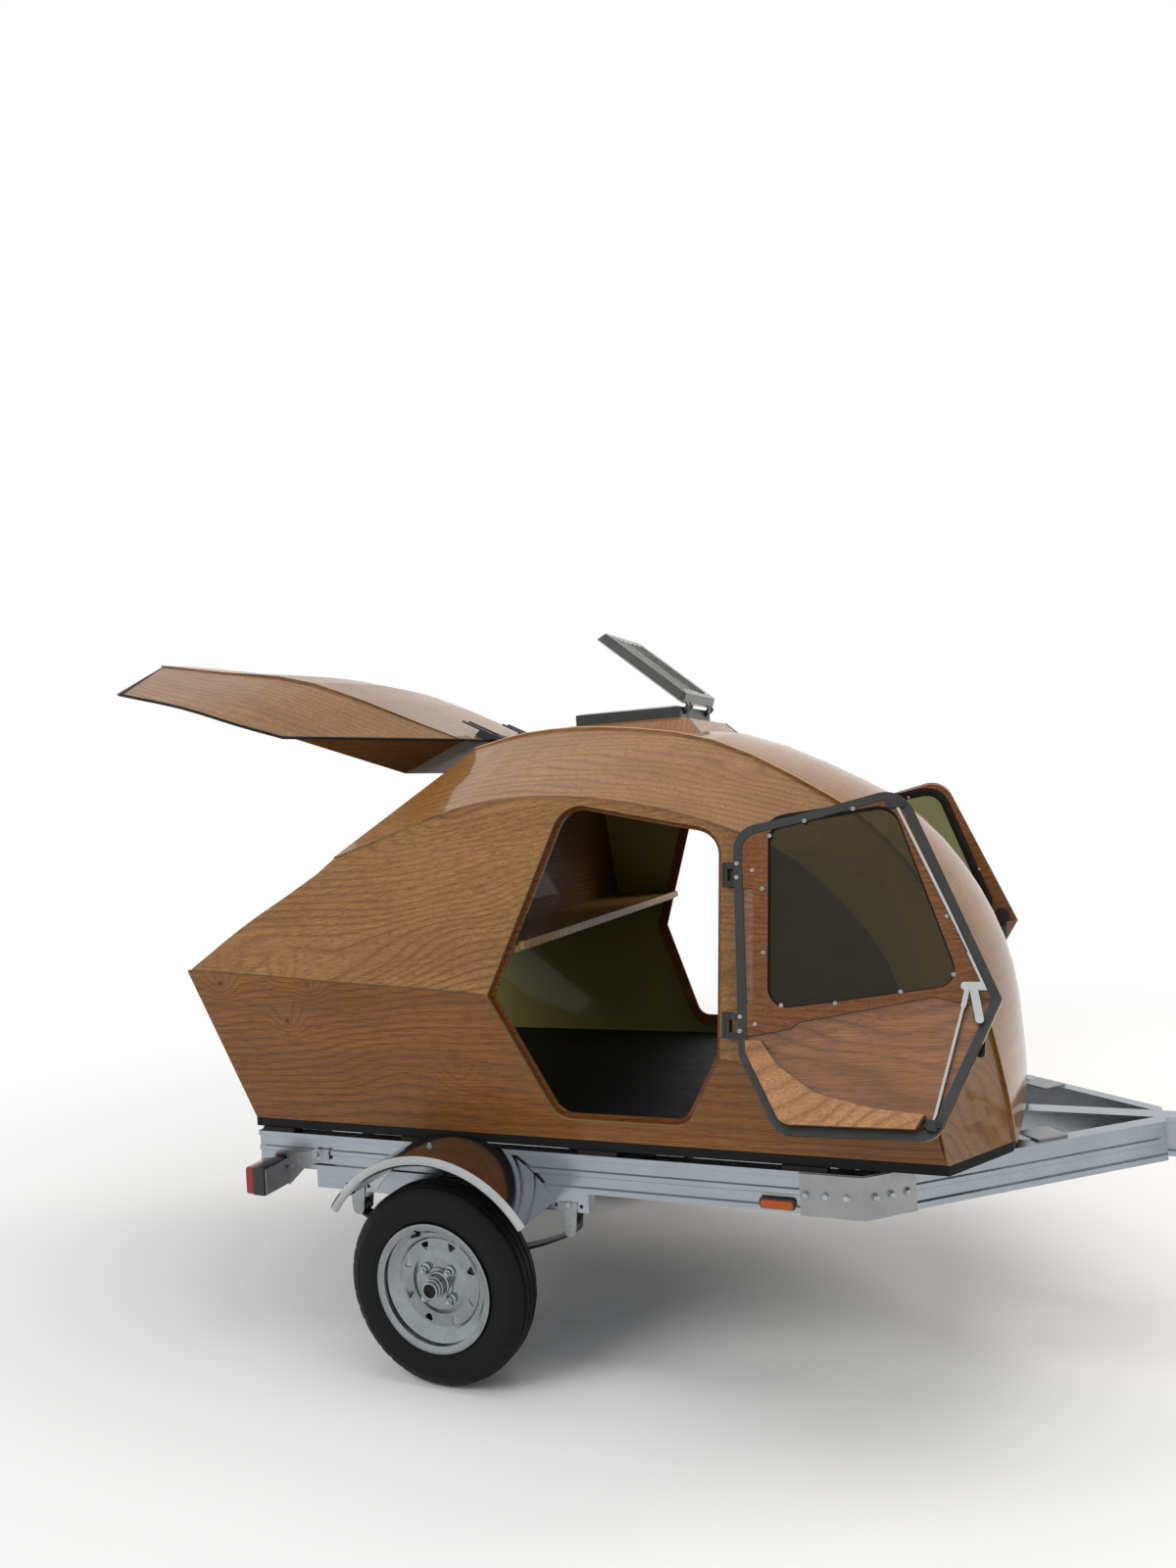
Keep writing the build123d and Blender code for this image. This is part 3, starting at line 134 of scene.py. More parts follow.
def opened(joint):
    """Turn from a joint's closed place to where it rests."""
    found = next(j for j in frame["joints"] if j["name"] == joint)
    pivot = Matrix.Translation(Vector(found["pos_m"]))
    turn = Matrix.Rotation(-math.radians(sum(found["range_deg"])), 4, Vector(found["axis"]))
    return pivot @ turn @ pivot.inverted()


def seat(place, out, along=(1, 0, 0), turn=None):
    """Frame on a surface, from millimetres with z pointing out of it, to metres."""
    z = Vector(out).normalized()
    x = Vector(along)
    x = (x - z * x.dot(z)).normalized()
    made = Matrix((x, z.cross(x), z)).transposed().to_4x4()
    made.translation = place
    if turn:
        made = turn @ made
    return made @ Matrix.Scale(0.001, 4)


class Nodes:
    """Short way to write a material's node tree."""

    def __init__(self, name, base, rough=0.5, metal=0.0, **sockets):
        self.material = bpy.data.materials.new(name)
        self.material.use_nodes = True
        self.tree = self.material.node_tree
        self.shader = self.tree.nodes["Principled BSDF"]
        self.set("Base Color", (*base, 1))
        self.set("Roughness", rough)
        self.set("Metallic", metal)
        for key, value in sockets.items():
            self.set(key.replace("_", " "), value)
        self.place = self.add("ShaderNodeTexCoord").outputs["Object"]

    def set(self, socket, value):
        self.shader.inputs[socket].default_value = value

    def add(self, kind, **inputs):
        node = self.tree.nodes.new(kind)
        for key, value in inputs.items():
            name = key.replace("_", " ")
            if name in node.inputs:
                self.feed(node.inputs[name], value)
            else:
                setattr(node, key, value)
        return node

    def feed(self, socket, value):
        if isinstance(value, bpy.types.NodeSocket):
            self.tree.links.new(value, socket)
        else:
            socket.default_value = value

    def stretch(self, vector, scale, turn=(0, 0, 0)):
        return self.add("ShaderNodeMapping", Vector=vector, Scale=scale, Rotation=turn).outputs[0]

    def noise(self, vector, scale, detail=4.0, rough=0.5, twist=0.0):
        return self.add(
            "ShaderNodeTexNoise", Vector=vector, Scale=scale, Detail=detail, Roughness=rough, Distortion=twist
        ).outputs["Fac"]

    def ramp(self, value, stops):
        node = self.add("ShaderNodeValToRGB", Fac=value)
        items = node.color_ramp.elements
        while len(items) < len(stops):
            items.new(0.5)
        for item, (place, colour) in zip(items, stops):
            item.position = place
            item.color = (*colour, 1)
        return node.outputs["Color"]

    def grey(self, value, stops):
        return self.ramp(value, [(place, (shade,) * 3) for place, shade in stops])

    def mix(self, factor, a, b):
        node = self.tree.nodes.new("ShaderNodeMix")
        node.data_type = "RGBA"
        self.feed(node.inputs[0], factor)
        self.feed(node.inputs[6], a)
        self.feed(node.inputs[7], b)
        return node.outputs[2]

    def maths(self, kind, a, b=0.0):
        node = self.add("ShaderNodeMath", operation=kind)
        self.feed(node.inputs[0], a)
        self.feed(node.inputs[1], b)
        return node.outputs[0]

    def vector(self, kind, a, b, output="Vector"):
        node = self.add("ShaderNodeVectorMath", operation=kind)
        self.feed(node.inputs[0], a)
        self.feed(node.inputs[1], b)
        return node.outputs[output]

    def bump(self, height, strength, distance=0.001, socket="Normal"):
        node = self.add("ShaderNodeBump", Height=height, Strength=strength, Distance=distance)
        self.tree.links.new(node.outputs[0], self.shader.inputs[socket])

    def link(self, output, socket):
        self.tree.links.new(output, self.shader.inputs[socket])
        return self.material


def tint(colour, share):
    """Colour made darker or lighter, with its alpha."""
    return (*[min(1.0, part * share) for part in colour], 1)


def growth_lines(n, turned, rise, lines, swirl, knots):
    """Field that counts growth lines, bent round the knots, and the dark spots in the knots' middles."""
    slow = n.stretch(turned, (0.75, 2.3, 2.3))
    quick = n.stretch(turned, (1.3, 5, 5))
    field = n.maths("MULTIPLY", n.vector("DOT_PRODUCT", turned, rise, "Value"), lines)
    field = n.maths("ADD", field, n.maths("MULTIPLY", n.noise(slow, 1.0, 2.0, 0.45, 0.5), swirl))
    field = n.maths("ADD", field, n.maths("MULTIPLY", n.noise(quick, 1.0, 2.0, 0.45), 1.6))
    spots = 0.0
    for knot in knots:
        reach = n.vector("DISTANCE", n.place, spot(*knot), "Value")
        field = n.maths("ADD", field, n.grey(reach, [(0.0, 3.6), (0.02, 1.8), (0.07, 0.0)]))
        spots = n.maths("MAXIMUM", spots, n.grey(reach, [(0.003, 1.0), (0.012, 0.0)]))
    return field, spots


def ply(name, pale, dark, lean=0.0, rise=(0, 0, 1), lines=58.0, swirl=26.0, coat=1.0, knots=(), inner=None,
        heading=0.0):
    """Varnished veneer: growth lines that bend round knots, fibres and pores; inward faces may take a darker
    olive tone, the wood's colour with the cabin's shade and flare painted in.
    """
    n = Nodes(name, pale, 0.42, Coat_Weight=coat, Coat_Roughness=0.06, Specular_IOR_Level=0.15)
    turned = n.stretch(n.place, (1, 1, 1), (0, lean, heading))
    field, spots = growth_lines(n, turned, rise, lines, swirl, knots)
    rings = n.grey(n.maths("FRACT", field), [(0.0, 0.8), (0.1, 0.25), (0.35, 0.0), (0.7, 0.2), (0.95, 1.0)])
    weight = n.grey(n.noise(n.stretch(turned, (1.2, 3.5, 3.5)), 1.0, 3.0), [(0.3, 0.35), (0.68, 0.95)])
    fibre = n.noise(n.stretch(turned, (4.0, 300.0, 300.0)), 1.0, 5.0, 0.65)
    pores = n.noise(n.stretch(turned, (26.0, 640.0, 640.0)), 1.0, 2.0, 0.5)
    cloud = n.noise(n.stretch(turned, (1.1, 2.4, 2.4)), 1.7, 3.0, 0.6, 0.4)
    band = n.noise(n.stretch(turned, (0.35, 13.0, 13.0)), 1.0, 3.0, 0.55)
    tone = n.mix(n.grey(cloud, [(0.3, 0.0), (0.7, 0.75)]), tint(pale, 1.0), tint(dark, 1.35))
    tone = n.mix(n.grey(band, [(0.42, 0.0), (0.68, 0.4)]), tone, tint(dark, 1.1))
    tone = n.mix(n.maths("MULTIPLY", rings, weight), tone, tint(dark, 0.7))
    tone = n.mix(n.grey(fibre, [(0.36, 0.5), (0.62, 0.0)]), tone, tint(dark, 0.8))
    tone = n.mix(n.grey(fibre, [(0.5, 0.0), (0.72, 0.3)]), tone, tint(pale, 1.35))
    tone = n.mix(n.grey(pores, [(0.36, 0.7), (0.44, 0.0)]), tone, tint(dark, 0.35))
    tone = n.mix(spots, tone, tint(dark, 0.16))
    # Inward faces get a darker olive tone: the wood's own colour with the cabin's shade and flare painted in
    if inner:
        facing = n.add("ShaderNodeTexCoord").outputs["Normal"]
        away = n.vector("SUBTRACT", n.place, spot(*CABIN_MIDDLE))
        inside = n.maths("LESS_THAN", n.vector("DOT_PRODUCT", facing, away, "Value"), 0.0)
        tone = n.mix(inside, tone, tint(inner, 1.0))
    n.bump(n.mix(0.4, fibre, pores), 0.04, 0.0005)
    n.bump(n.noise(n.place, 11.0, 2.0, 0.5, 0.4), 0.05, 0.003, "Coat Normal")
    n.link(n.grey(fibre, [(0.3, 0.5), (0.7, 0.34)]), "Roughness")
    return n.link(tone, "Base Color")


def metal(name, base, rough, streak=(1, 60, 60), depth=0.08, blotch=0.0, bare=1.0):
    """Drawn, brushed or painted metal with fine streaks and smudges."""
    n = Nodes(name, base, rough, bare)
    fine = n.noise(n.stretch(n.place, streak), 4.0, 6.0, 0.7)
    smudge = n.noise(n.place, 7.0, 4.0, 0.6, 0.4)
    tone = n.mix(n.grey(smudge, [(0.35, 0.0), (0.75, 0.3 + blotch)]), tint(base, 1), tint(base, 0.62))
    tone = n.mix(n.grey(fine, [(0.45, 0.0), (0.75, 0.3)]), tone, tint(base, 1.3))
    dull = n.grey(n.mix(0.5, fine, smudge), [(0.3, max(0.03, rough - 0.08)), (0.75, rough + 0.14)])
    n.link(dull, "Roughness")
    n.bump(fine, depth, 0.0004)
    return n.link(tone, "Base Color")


def zinc(name, base, rough):
    """Galvanised steel with its spangle and dull patches."""
    n = Nodes(name, base, rough, 1.0)
    spangle = n.add("ShaderNodeTexVoronoi", Vector=n.place, Scale=150.0)
    cloud = n.noise(n.place, 14.0, 4.0, 0.6)
    flakes = n.grey(spangle.outputs["Distance"], [(0.1, 0.0), (0.7, 0.45)])
    tone = n.mix(flakes, tint(base, 1), tint(base, 0.7))
    tone = n.mix(n.grey(cloud, [(0.4, 0.0), (0.75, 0.45)]), tone, tint(base, 0.5))
    n.link(n.grey(cloud, [(0.3, rough - 0.08), (0.7, rough + 0.14)]), "Roughness")
    n.bump(spangle.outputs["Distance"], 0.05, 0.0005)
    return n.link(tone, "Base Color")


def rubber(name, base, rough, grain=300.0, depth=0.12, dust=(0.07, 0.064, 0.056), gloss=0.3):
    """Rubber with a fine grain under a thin uneven film of dust."""
    n = Nodes(name, base, rough, Specular_IOR_Level=gloss)
    fine = n.noise(n.place, grain, 4.0, 0.6)
    film = n.noise(n.place, 9.0, 5.0, 0.65, 0.2)
    tone = n.mix(n.grey(film, [(0.5, 0.0), (0.85, 0.3)]), tint(base, 1), tint(dust, 1))
    n.bump(fine, depth, 0.0005)
    n.link(n.grey(film, [(0.3, rough - 0.1), (0.8, rough + 0.12)]), "Roughness")
    return n.link(tone, "Base Color")


def plastic(name, base, rough, grain=420.0, depth=0.05, **sockets):
    """Moulded plastic or paint with a fine grain and a little wear."""
    n = Nodes(name, base, rough, **sockets)
    fine = n.noise(n.place, grain, 3.0, 0.6)
    wear = n.noise(n.place, 22.0, 4.0, 0.6)
    worn = tint([part + 0.01 for part in base], 1.6)
    tone = n.mix(n.grey(wear, [(0.45, 0.0), (0.8, 0.25)]), tint(base, 1), worn)
    n.bump(fine, depth, 0.0004)
    n.link(n.grey(wear, [(0.3, max(0.04, rough - 0.06)), (0.8, rough + 0.1)]), "Roughness")
    return n.link(tone, "Base Color")


def tinted(name, base, clear, rough=0.03, density=1.3):
    """Tinted acrylic that lets part of the view through, with faint smears on its gloss."""
    n = Nodes(name, base, rough, Transmission_Weight=clear, IOR=density)
    smear = n.noise(n.stretch(n.place, (2, 2, 7)), 3.0, 5.0, 0.6, 0.8)
    n.link(n.grey(smear, [(0.4, rough), (0.8, rough + 0.08)]), "Roughness")
    tone = n.mix(n.grey(smear, [(0.35, 0.0), (0.8, 0.3)]), tint(base, 1), tint(base, 1.4))
    return n.link(tone, "Base Color")


# Materials: the inner faces' tone, which is the wood's colour with painted shade and flare, the boards'
# knots, and the grain that runs across the trailer
INSIDE_WOOD_AND_SHADE = (0.24, 0.215, 0.070)
KNOTS = [(-700, -745, 1040), (-392, -735, 1038), (-490, -712, 930), (-470, -730, 1075), (40, -665, 795)]
ACROSS = math.pi / 2
MATERIALS = {
    "upper": ply(
        "ply_upper", (0.325, 0.164, 0.044), (0.150, 0.061, 0.012), lean=0.16, lines=44.0, swirl=22.0,
        coat=0.6, knots=KNOTS[3:4], inner=INSIDE_WOOD_AND_SHADE,
    ),
    "lower": ply(
        "ply_lower", (0.255, 0.103, 0.019), (0.118, 0.041, 0.006), lean=0.03, lines=40.0, swirl=9.0,
        coat=0.35, knots=KNOTS, inner=INSIDE_WOOD_AND_SHADE,
    ),
    "transom": ply(
        "ply_transom", (0.255, 0.103, 0.019), (0.118, 0.041, 0.006), lines=40.0, swirl=9.0, coat=0.35,
        inner=INSIDE_WOOD_AND_SHADE, heading=ACROSS,
    ),
    "roof": ply(
        "ply_roof", (0.30, 0.148, 0.042), (0.150, 0.061, 0.013), lean=0.12, rise=(0, 0.9, 0.5), lines=40.0,
        swirl=13.0, coat=0.7, inner=INSIDE_WOOD_AND_SHADE,
    ),
    "hatch": ply(
        "ply_hatch", (0.245, 0.120, 0.036), (0.122, 0.051, 0.012), lean=-0.25, rise=(0, 0.9, 0.4), lines=40.0,
        swirl=12.0, coat=0.45,
    ),
    "door": ply("ply_door", (0.31, 0.128, 0.042), (0.140, 0.052, 0.014), lean=0.05, lines=36.0, swirl=24.0),
    "pocket": ply(
        "ply_pocket", (0.45, 0.235, 0.100), (0.25, 0.110, 0.040), lean=0.5, lines=24.0, swirl=12.0, coat=0.5
    ),
    "lining": ply("ply_lining", (0.23, 0.092, 0.028), (0.110, 0.036, 0.010), lean=0.1, coat=0.3),
    "inner": ply(
        "ply_inner", (0.17, 0.078, 0.026), (0.085, 0.034, 0.010), swirl=16.0, coat=0.2, heading=ACROSS
    ),
    "birch": ply(
        "ply_counter", (0.42, 0.26, 0.11), (0.24, 0.13, 0.045), rise=(1, 0, 0.3), lines=30.0, swirl=9.0,
        coat=0.2, heading=ACROSS,
    ),
    "curb": ply(
        "ply_curb", (0.34, 0.175, 0.075), (0.18, 0.08, 0.028), rise=(0, 1, 0.3), coat=0.5, heading=ACROSS
    ),
    "glue": plastic("seam_filler", (0.46, 0.30, 0.17), 0.3, 160.0),
    # Thin dark line laid along the chines, darker than the boards on either side
    "chine_dark_line": plastic("chine_line", (0.06, 0.022, 0.008), 0.5, 160.0),
    "edge": plastic("edge_paint", (0.006, 0.006, 0.006), 0.6, 180.0, 0.15, Specular_IOR_Level=0.15),
    "alloy": metal("extruded_alloy", (0.34, 0.37, 0.40), 0.26, (1, 90, 90), 0.10),
    "plate": metal("plate_alloy", (0.33, 0.33, 0.34), 0.38, (40, 40, 3), 0.08, 0.15),
    "fender": metal("fender_alloy", (0.42, 0.43, 0.44), 0.13, (8, 2, 8), 0.03, 0.1),
    "steel": zinc("galvanised", (0.34, 0.36, 0.37), 0.32),
    "rim": zinc("rim_zinc", (0.30, 0.325, 0.335), 0.15),
    "bolt": zinc("bolt_zinc", (0.42, 0.45, 0.47), 0.26),
    "black_steel": metal("black_steel", (0.014, 0.014, 0.015), 0.42, (30, 30, 30), 0.1, 0.0, 0.0),
    "rubber": rubber("black_rubber", (0.007, 0.007, 0.007), 0.5, 300.0, 0.12, (0.02, 0.019, 0.017), 0.18),
    "seal": rubber("seal_rubber", (0.030, 0.034, 0.033), 0.36, 500.0, 0.1, (0.06, 0.062, 0.058)),
    "tyre": rubber("tyre_rubber", (0.005, 0.0055, 0.006), 0.55, 220.0, 0.2, (0.022, 0.020, 0.018), 0.14),
    "glass": tinted("tinted_acrylic", (0.15, 0.152, 0.07), 0.95, 0.0),
    "chrome": metal("latch_steel", (0.50, 0.52, 0.52), 0.2, (30, 30, 4), 0.02),
    "black": plastic("black_plastic", (0.010, 0.011, 0.011), 0.36),
    "red": tinted("lamp_red", (0.30, 0.006, 0.006), 0.25, 0.08, 1.45),
    "amber": tinted("lamp_amber", (0.50, 0.085, 0.006), 0.3, 0.08, 1.45),
    "vent": plastic("vent_plastic", (0.020, 0.022, 0.020), 0.4),
    "lid": tinted("lid_acrylic", (0.075, 0.082, 0.065), 0.35, 0.10, 1.45),
    "pale": plastic("pale_trim", (0.50, 0.53, 0.55), 0.35),
}

# Material of every CAD piece
LOOKS = {
    "upper_sides": "upper", "lower_sides": "lower", "roof_planks": "roof", "roof_centre": "roof",
    "hatch_planks": "hatch", "hatch_centre": "hatch", "hatch_frame": "inner",
    "hatch_hinge_leaves": "black_steel", "hatch_hinge_bases": "black_steel", "tail_corners": "lower",
    "tail_transom": "transom", "galley_counter": "birch", "counter_lip": "birch", "bulkhead": "inner",
    "door_rims": "lining", "floor_pan": "edge", "vent_curb": "curb", "vent_base": "vent",
    "vent_lid": "lid", "side_rails": "alloy", "tongue_rails": "alloy", "tongue_beam": "alloy",
    "cross_members": "alloy", "spring_rails": "alloy", "corner_plates": "plate", "tongue_tabs": "plate",
    "lamp_brackets": "plate", "fenders": "fender", "mounting_blocks": "rubber",
    "leaf_springs": "black_steel", "spring_hangers": "steel", "axle": "black_steel",
    "tail_lamps": "black", "side_markers": "amber", "coupler": "steel", "jack_tube": "steel",
    "jack_leg": "steel", "door_hinge_bases": "black",
}
for side in SIDES:
    LOOKS.update({
        f"tyre_{side}": "tyre", f"rim_{side}": "rim", f"hub_{side}": "steel", f"door_{side}": "door",
        f"door_seal_{side}": "seal", f"door_glass_{side}": "glass", f"door_lining_{side}": "lining",
        f"door_pocket_{side}": "pocket", f"door_latch_{side}": "chrome", f"door_handle_{side}": "black",
        f"door_hinges_{side}": "black",
    })
for node, look in LOOKS.items():
    for held in frame["nodes"][node].material_slots:
        held.material = MATERIALS[look]


def turns(steps, start=0.0):
    """Equal steps round a circle, in radians."""
    return [start + 2 * math.pi * k / steps for k in range(steps)]


def rounded(width, height, radius, steps=5):
    """Rectangle with round corners about the middle, in millimetres."""
    points = []
    for k, (x, y) in enumerate([(1, 1), (-1, 1), (-1, -1), (1, -1)]):
        for s in range(steps + 1):
            a = math.radians(90 * (k + s / steps))
            across = x * (width / 2 - radius) + radius * math.cos(a)
            along = y * (height / 2 - radius) + radius * math.sin(a)
            points.append((across, along))
    return points


def inset(outline, depth):
    """Outline drawn in by a depth, corner by corner."""
    result = []
    for k, here in enumerate(outline):
        before = Vector(here) - Vector(outline[k - 1])
        after = Vector(outline[(k + 1) % len(outline)]) - Vector(here)
        inward = Vector((-before.y, before.x)).normalized() + Vector((-after.y, after.x)).normalized()
        result.append(tuple(Vector(here) + inward.normalized() * depth))
    return result


class Form:
    """A piece in the making, built from rings of points in metres."""

    def __init__(self):
        self.mesh = bmesh.new()

    def loft(self, rings, loop=False):
        """Skin from ring to ring, closed by its ends or by a loop."""
        rows = [[self.mesh.verts.new(point) for point in ring] for ring in rings]
        pairs = list(zip(rows, rows[1:]))
        if loop:
            pairs.append((rows[-1], rows[0]))
        else:
            self.mesh.faces.new(rows[0][::-1])
            self.mesh.faces.new(rows[-1])
        for low, high in pairs:
            for k, corner in enumerate(low):
                after = (k + 1) % len(low)
                self.mesh.faces.new((corner, low[after], high[after], high[k]))

    def lathe(self, where, profile, steps=32, loop=False, start=0.0):
        """Turned form on a seat: profile gives heights and radii in millimetres."""
        self.loft([
            [where @ Vector((r * math.cos(a), r * math.sin(a), w)) for a in turns(steps, start)]
            for w, r in profile
        ], loop)

    def slab(self, where, outline, low, high, edge=0.6):
        """Flat form on a seat between two heights, its upper edge rounded."""
        levels = [(low, 0), (high - edge, 0), (high - 0.3 * edge, 0.3 * edge), (high, edge)]
        self.loft([
            [where @ Vector((x, y, level)) for x, y in (inset(outline, drawn) if drawn else outline)]
            for level, drawn in levels
        ])

    def tube(self, path, radius, steps=8, loop=False):
        """Rod along points in metres, its radius in millimetres."""
        rings = []
        side = None
        for k, here in enumerate(path):
            before = path[k - 1] if k or loop else here
            after = path[(k + 1) % len(path)] if k + 1 < len(path) or loop else here
            ahead = (after - before).normalized()
            if side is None:
                side = ahead.orthogonal()
            side = (side - ahead * side.dot(ahead)).normalized()
            up = ahead.cross(side)
            spokes = [side * math.cos(a) + up * math.sin(a) for a in turns(steps)]
            rings.append([here + spoke * radius / 1000 for spoke in spokes])
        self.loft(rings, loop)

    def bolt(self, where, across=16.0, head=6.5, washer=11.0):
        """Hexagon head on its washer."""
        self.lathe(where, [(0, washer), (1.3, washer), (1.8, washer - 0.5)], 24)
        corner = across / math.sqrt(3)
        self.lathe(where, [(1.8, corner), (0.3 + head, corner), (1.8 + head, corner * 0.84)], 6, start=0.3)

    def screw(self, where, radius=5.5, height=3.2):
        """Domed head with its hexagon socket."""
        dome = [(0, radius), (0.35 * height, radius), (0.75 * height, radius * 0.82), (height, radius * 0.5)]
        self.lathe(where, dome, 20)
        socket = [(height, radius * 0.5), (height + 0.05, radius * 0.42), (height * 0.45, radius * 0.4)]
        self.lathe(where, socket, 6)

    def piece(self, name, look, body, replaced=(), sharp=32):
        """Object of the form, which rides on a body and may stand in for CAD pieces."""
        bmesh.ops.recalc_face_normals(self.mesh, faces=self.mesh.faces)
        data = bpy.data.meshes.new(name)
        self.mesh.to_mesh(data)
        self.mesh.free()
        data.shade_smooth()
        data.set_sharp_from_angle(angle=math.radians(sharp))
        data.materials.append(MATERIALS[look])
        made = bpy.data.objects.new(name, data)
        bpy.context.collection.objects.link(made)
        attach(made, body)
        if replaced:
            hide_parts(*replaced)
        return made


# Wheels: tyre with ribs, shoulder notches and sidewall rings, lug nuts, hub plug and valve
# Half profile from the bead to the crown: out from the middle plane, radius, and how the tread is cut there
TYRE_HALF = [
    (47.0, 153.4, ""), (48.3, 158.0, ""), (48.6, 169.0, ""), (50.6, 171.0, ""), (52.8, 173.6, ""),
    (53.6, 177.0, ""), (53.2, 179.6, ""), (54.6, 181.6, ""), (55.6, 184.6, ""), (55.4, 187.0, ""),
    (56.6, 194.0, ""), (57.9, 203.0, ""), (58.7, 210.0, ""), (58.9, 214.0, ""), (58.5, 219.0, ""),
    (57.6, 225.0, ""), (58.3, 226.6, ""), (58.2, 229.4, ""), (57.0, 231.0, ""), (55.4, 236.4, "notch"),
    (52.2, 242.6, "notch"), (47.6, 249.2, "notch"), (44.0, 253.4, "notch"), (42.2, 255.2, "notch"),
    (38.6, 256.6, "zig"), (34.4, 257.8, "zig"), (33.6, 252.4, "zig"), (29.6, 253.2, "zig"),
    (28.8, 259.6, "zig"), (21.5, 261.9, "zig"), (13.4, 262.0, "zig"), (12.7, 255.8, "zig"),
    (8.3, 255.8, "zig"), (7.6, 262.0, "zig"),
]
TREAD_STEPS = 240
ZIGZAG_STEPS = 8
ZIGZAG_REACH = 0.75
NOTCH_STEPS = 6
NOTCH_DEPTH = 2.8
TREAD_EDGE = 28
DISC_FACE = 26.0
LUG_RADIUS = 50.8
LUG_COUNT = 4
VALVE = (-52, 126, 30)
# Turned profiles: heights out of the seat and radii
NUT_FLANGE = [(0, 14.5), (1.0, 14.5), (3.4, 11.6)]
NUT_HEAD = [(3.4, 11.4), (13.4, 11.4), (15.0, 9.6)]
NUT_STUD = [(15.0, 6.0), (20.0, 6.0), (21.0, 5.0)]
PLUG = [(63.6, 16.4), (66.0, 16.4), (67.4, 15.0), (67.6, 11.6), (66.2, 10.8), (66.2, 4.0), (67.2, 2.4)]
VALVE_STEM = [(-4, 6.4), (2, 6.4), (6, 4.4), (20, 3.8), (22, 4.4), (33, 4.4), (34, 3.6)]


def tread_shift(step):
    """How far a zigzag groove lies aside at a step round the tyre."""
    return ZIGZAG_REACH * (abs(step % ZIGZAG_STEPS - ZIGZAG_STEPS / 2) - ZIGZAG_STEPS / 4)


for side, hand in SIDES.items():
    hub = seat(spot(0, hand * WHEEL_Y, WHEEL_Z), (0, hand, 0))
    rings = []
    for out, radius, cut in TYRE_HALF + [(-out, radius, cut) for out, radius, cut in reversed(TYRE_HALF)]:
        ring = []
        for k, a in enumerate(turns(TREAD_STEPS)):
            aside = tread_shift(k) if cut == "zig" else 0
            r = radius - (NOTCH_DEPTH if cut == "notch" and k % NOTCH_STEPS == 0 else 0)
            ring.append(hub @ Vector((r * math.cos(a), r * math.sin(a), out + aside)))
        rings.append(ring)
    tyre = Form()
    tyre.loft(rings, loop=True)
    tyre.piece(f"tread_{side}", "tyre", f"wheel_{side}", [f"tyre_{side}"], TREAD_EDGE)

    nuts = Form()
    for a in turns(LUG_COUNT, math.radians(45)):
        nut = hub @ Matrix.Translation((LUG_RADIUS * math.cos(a), LUG_RADIUS * math.sin(a), DISC_FACE))
        nuts.lathe(nut, NUT_FLANGE, 24)
        nuts.lathe(nut, NUT_HEAD, 6, start=a)
        nuts.lathe(nut, NUT_STUD, 16)
    nuts.piece(f"lug_nuts_{side}", "bolt", f"wheel_{side}")

    plug = Form()
    plug.lathe(hub, PLUG)
    plug.lathe(seat(hub @ Vector(VALVE), (0.1, hand, 0.22)), VALVE_STEM, 16)
    plug.piece(f"hub_plug_{side}", "rubber", f"wheel_{side}")

# Corner plates' ends along the tongue, and the bolts of the frame, its fenders and its lamp brackets
PLATE_Z = 532
PLATE_FACE = 6.3
PLATE_WIDTH = 101.2
PLATE_MIDDLE = 105
PLATE_LENGTH = 70.4
PLATE_DEPTH = 5.9
PLATE_BOLTS = [(960, 531), (1008, 531), (1057, 531)]
TONGUE_BOLTS = [28, 72, 116]
SPRING_BOLTS = [(331, 452), (-331, 452)]
FENDER_RADIUS = 351
FENDER_BOLT_Y = 738
FENDER_BOLT_LEAN = math.radians(-4)
BRACKET_FACE = 646
# Bolts of a lamp bracket: ahead of the axle, above the ground, across the flats, washer's radius
BRACKET_BOLTS = [(-560, 484, 10.0, 8.0), (-534, 500, 10.0, 8.0), (-466, 527, 15.0, 17.0)]


def tongue_seat(hand, run):
    """Seat on the corner plate's outer face beside the tongue rail, a run ahead of the bend."""
    out = Vector((math.sin(HEADING), hand * math.cos(HEADING), 0))
    along = Vector((math.cos(HEADING), -hand * math.sin(HEADING), 0))
    place = spot(RAIL_BEND, hand * RAIL_Y, PLATE_Z) + (along * run + out * PLATE_FACE) / 1000
    return seat(place, out, along)


bolts, tails = Form(), Form()
for hand in SIDES.values():
    tails.slab(tongue_seat(hand, PLATE_MIDDLE), rounded(PLATE_LENGTH, PLATE_WIDTH, 3), -PLATE_DEPTH, 0, 0.5)
    for x, z in PLATE_BOLTS:
        bolts.bolt(seat(spot(x, hand * (RAIL_Y + PLATE_FACE), z), (0, hand, 0)))
    for run in TONGUE_BOLTS:
        bolts.bolt(tongue_seat(hand, run))
    for x, z in SPRING_BOLTS:
        bolts.bolt(seat(spot(x, hand * RAIL_Y, z), (0, hand, 0)), 15.0, 6.0, 10.0)
    lean = Vector((math.sin(FENDER_BOLT_LEAN), 0, math.cos(FENDER_BOLT_LEAN)))
    top = spot(FENDER_RADIUS * lean.x, hand * FENDER_BOLT_Y, WHEEL_Z + FENDER_RADIUS * lean.z)
    bolts.bolt(seat(top, lean), 14.0, 6.0, 11.0)
    for x, z, across, washer in BRACKET_BOLTS:
        bolts.bolt(seat(spot(x, hand * BRACKET_FACE, z), (0, hand, 0)), across, 6.0, washer)
bolts.piece("frame_bolts", "bolt", "trailer")
tails.piece("corner_plate_ends", "plate", "trailer")

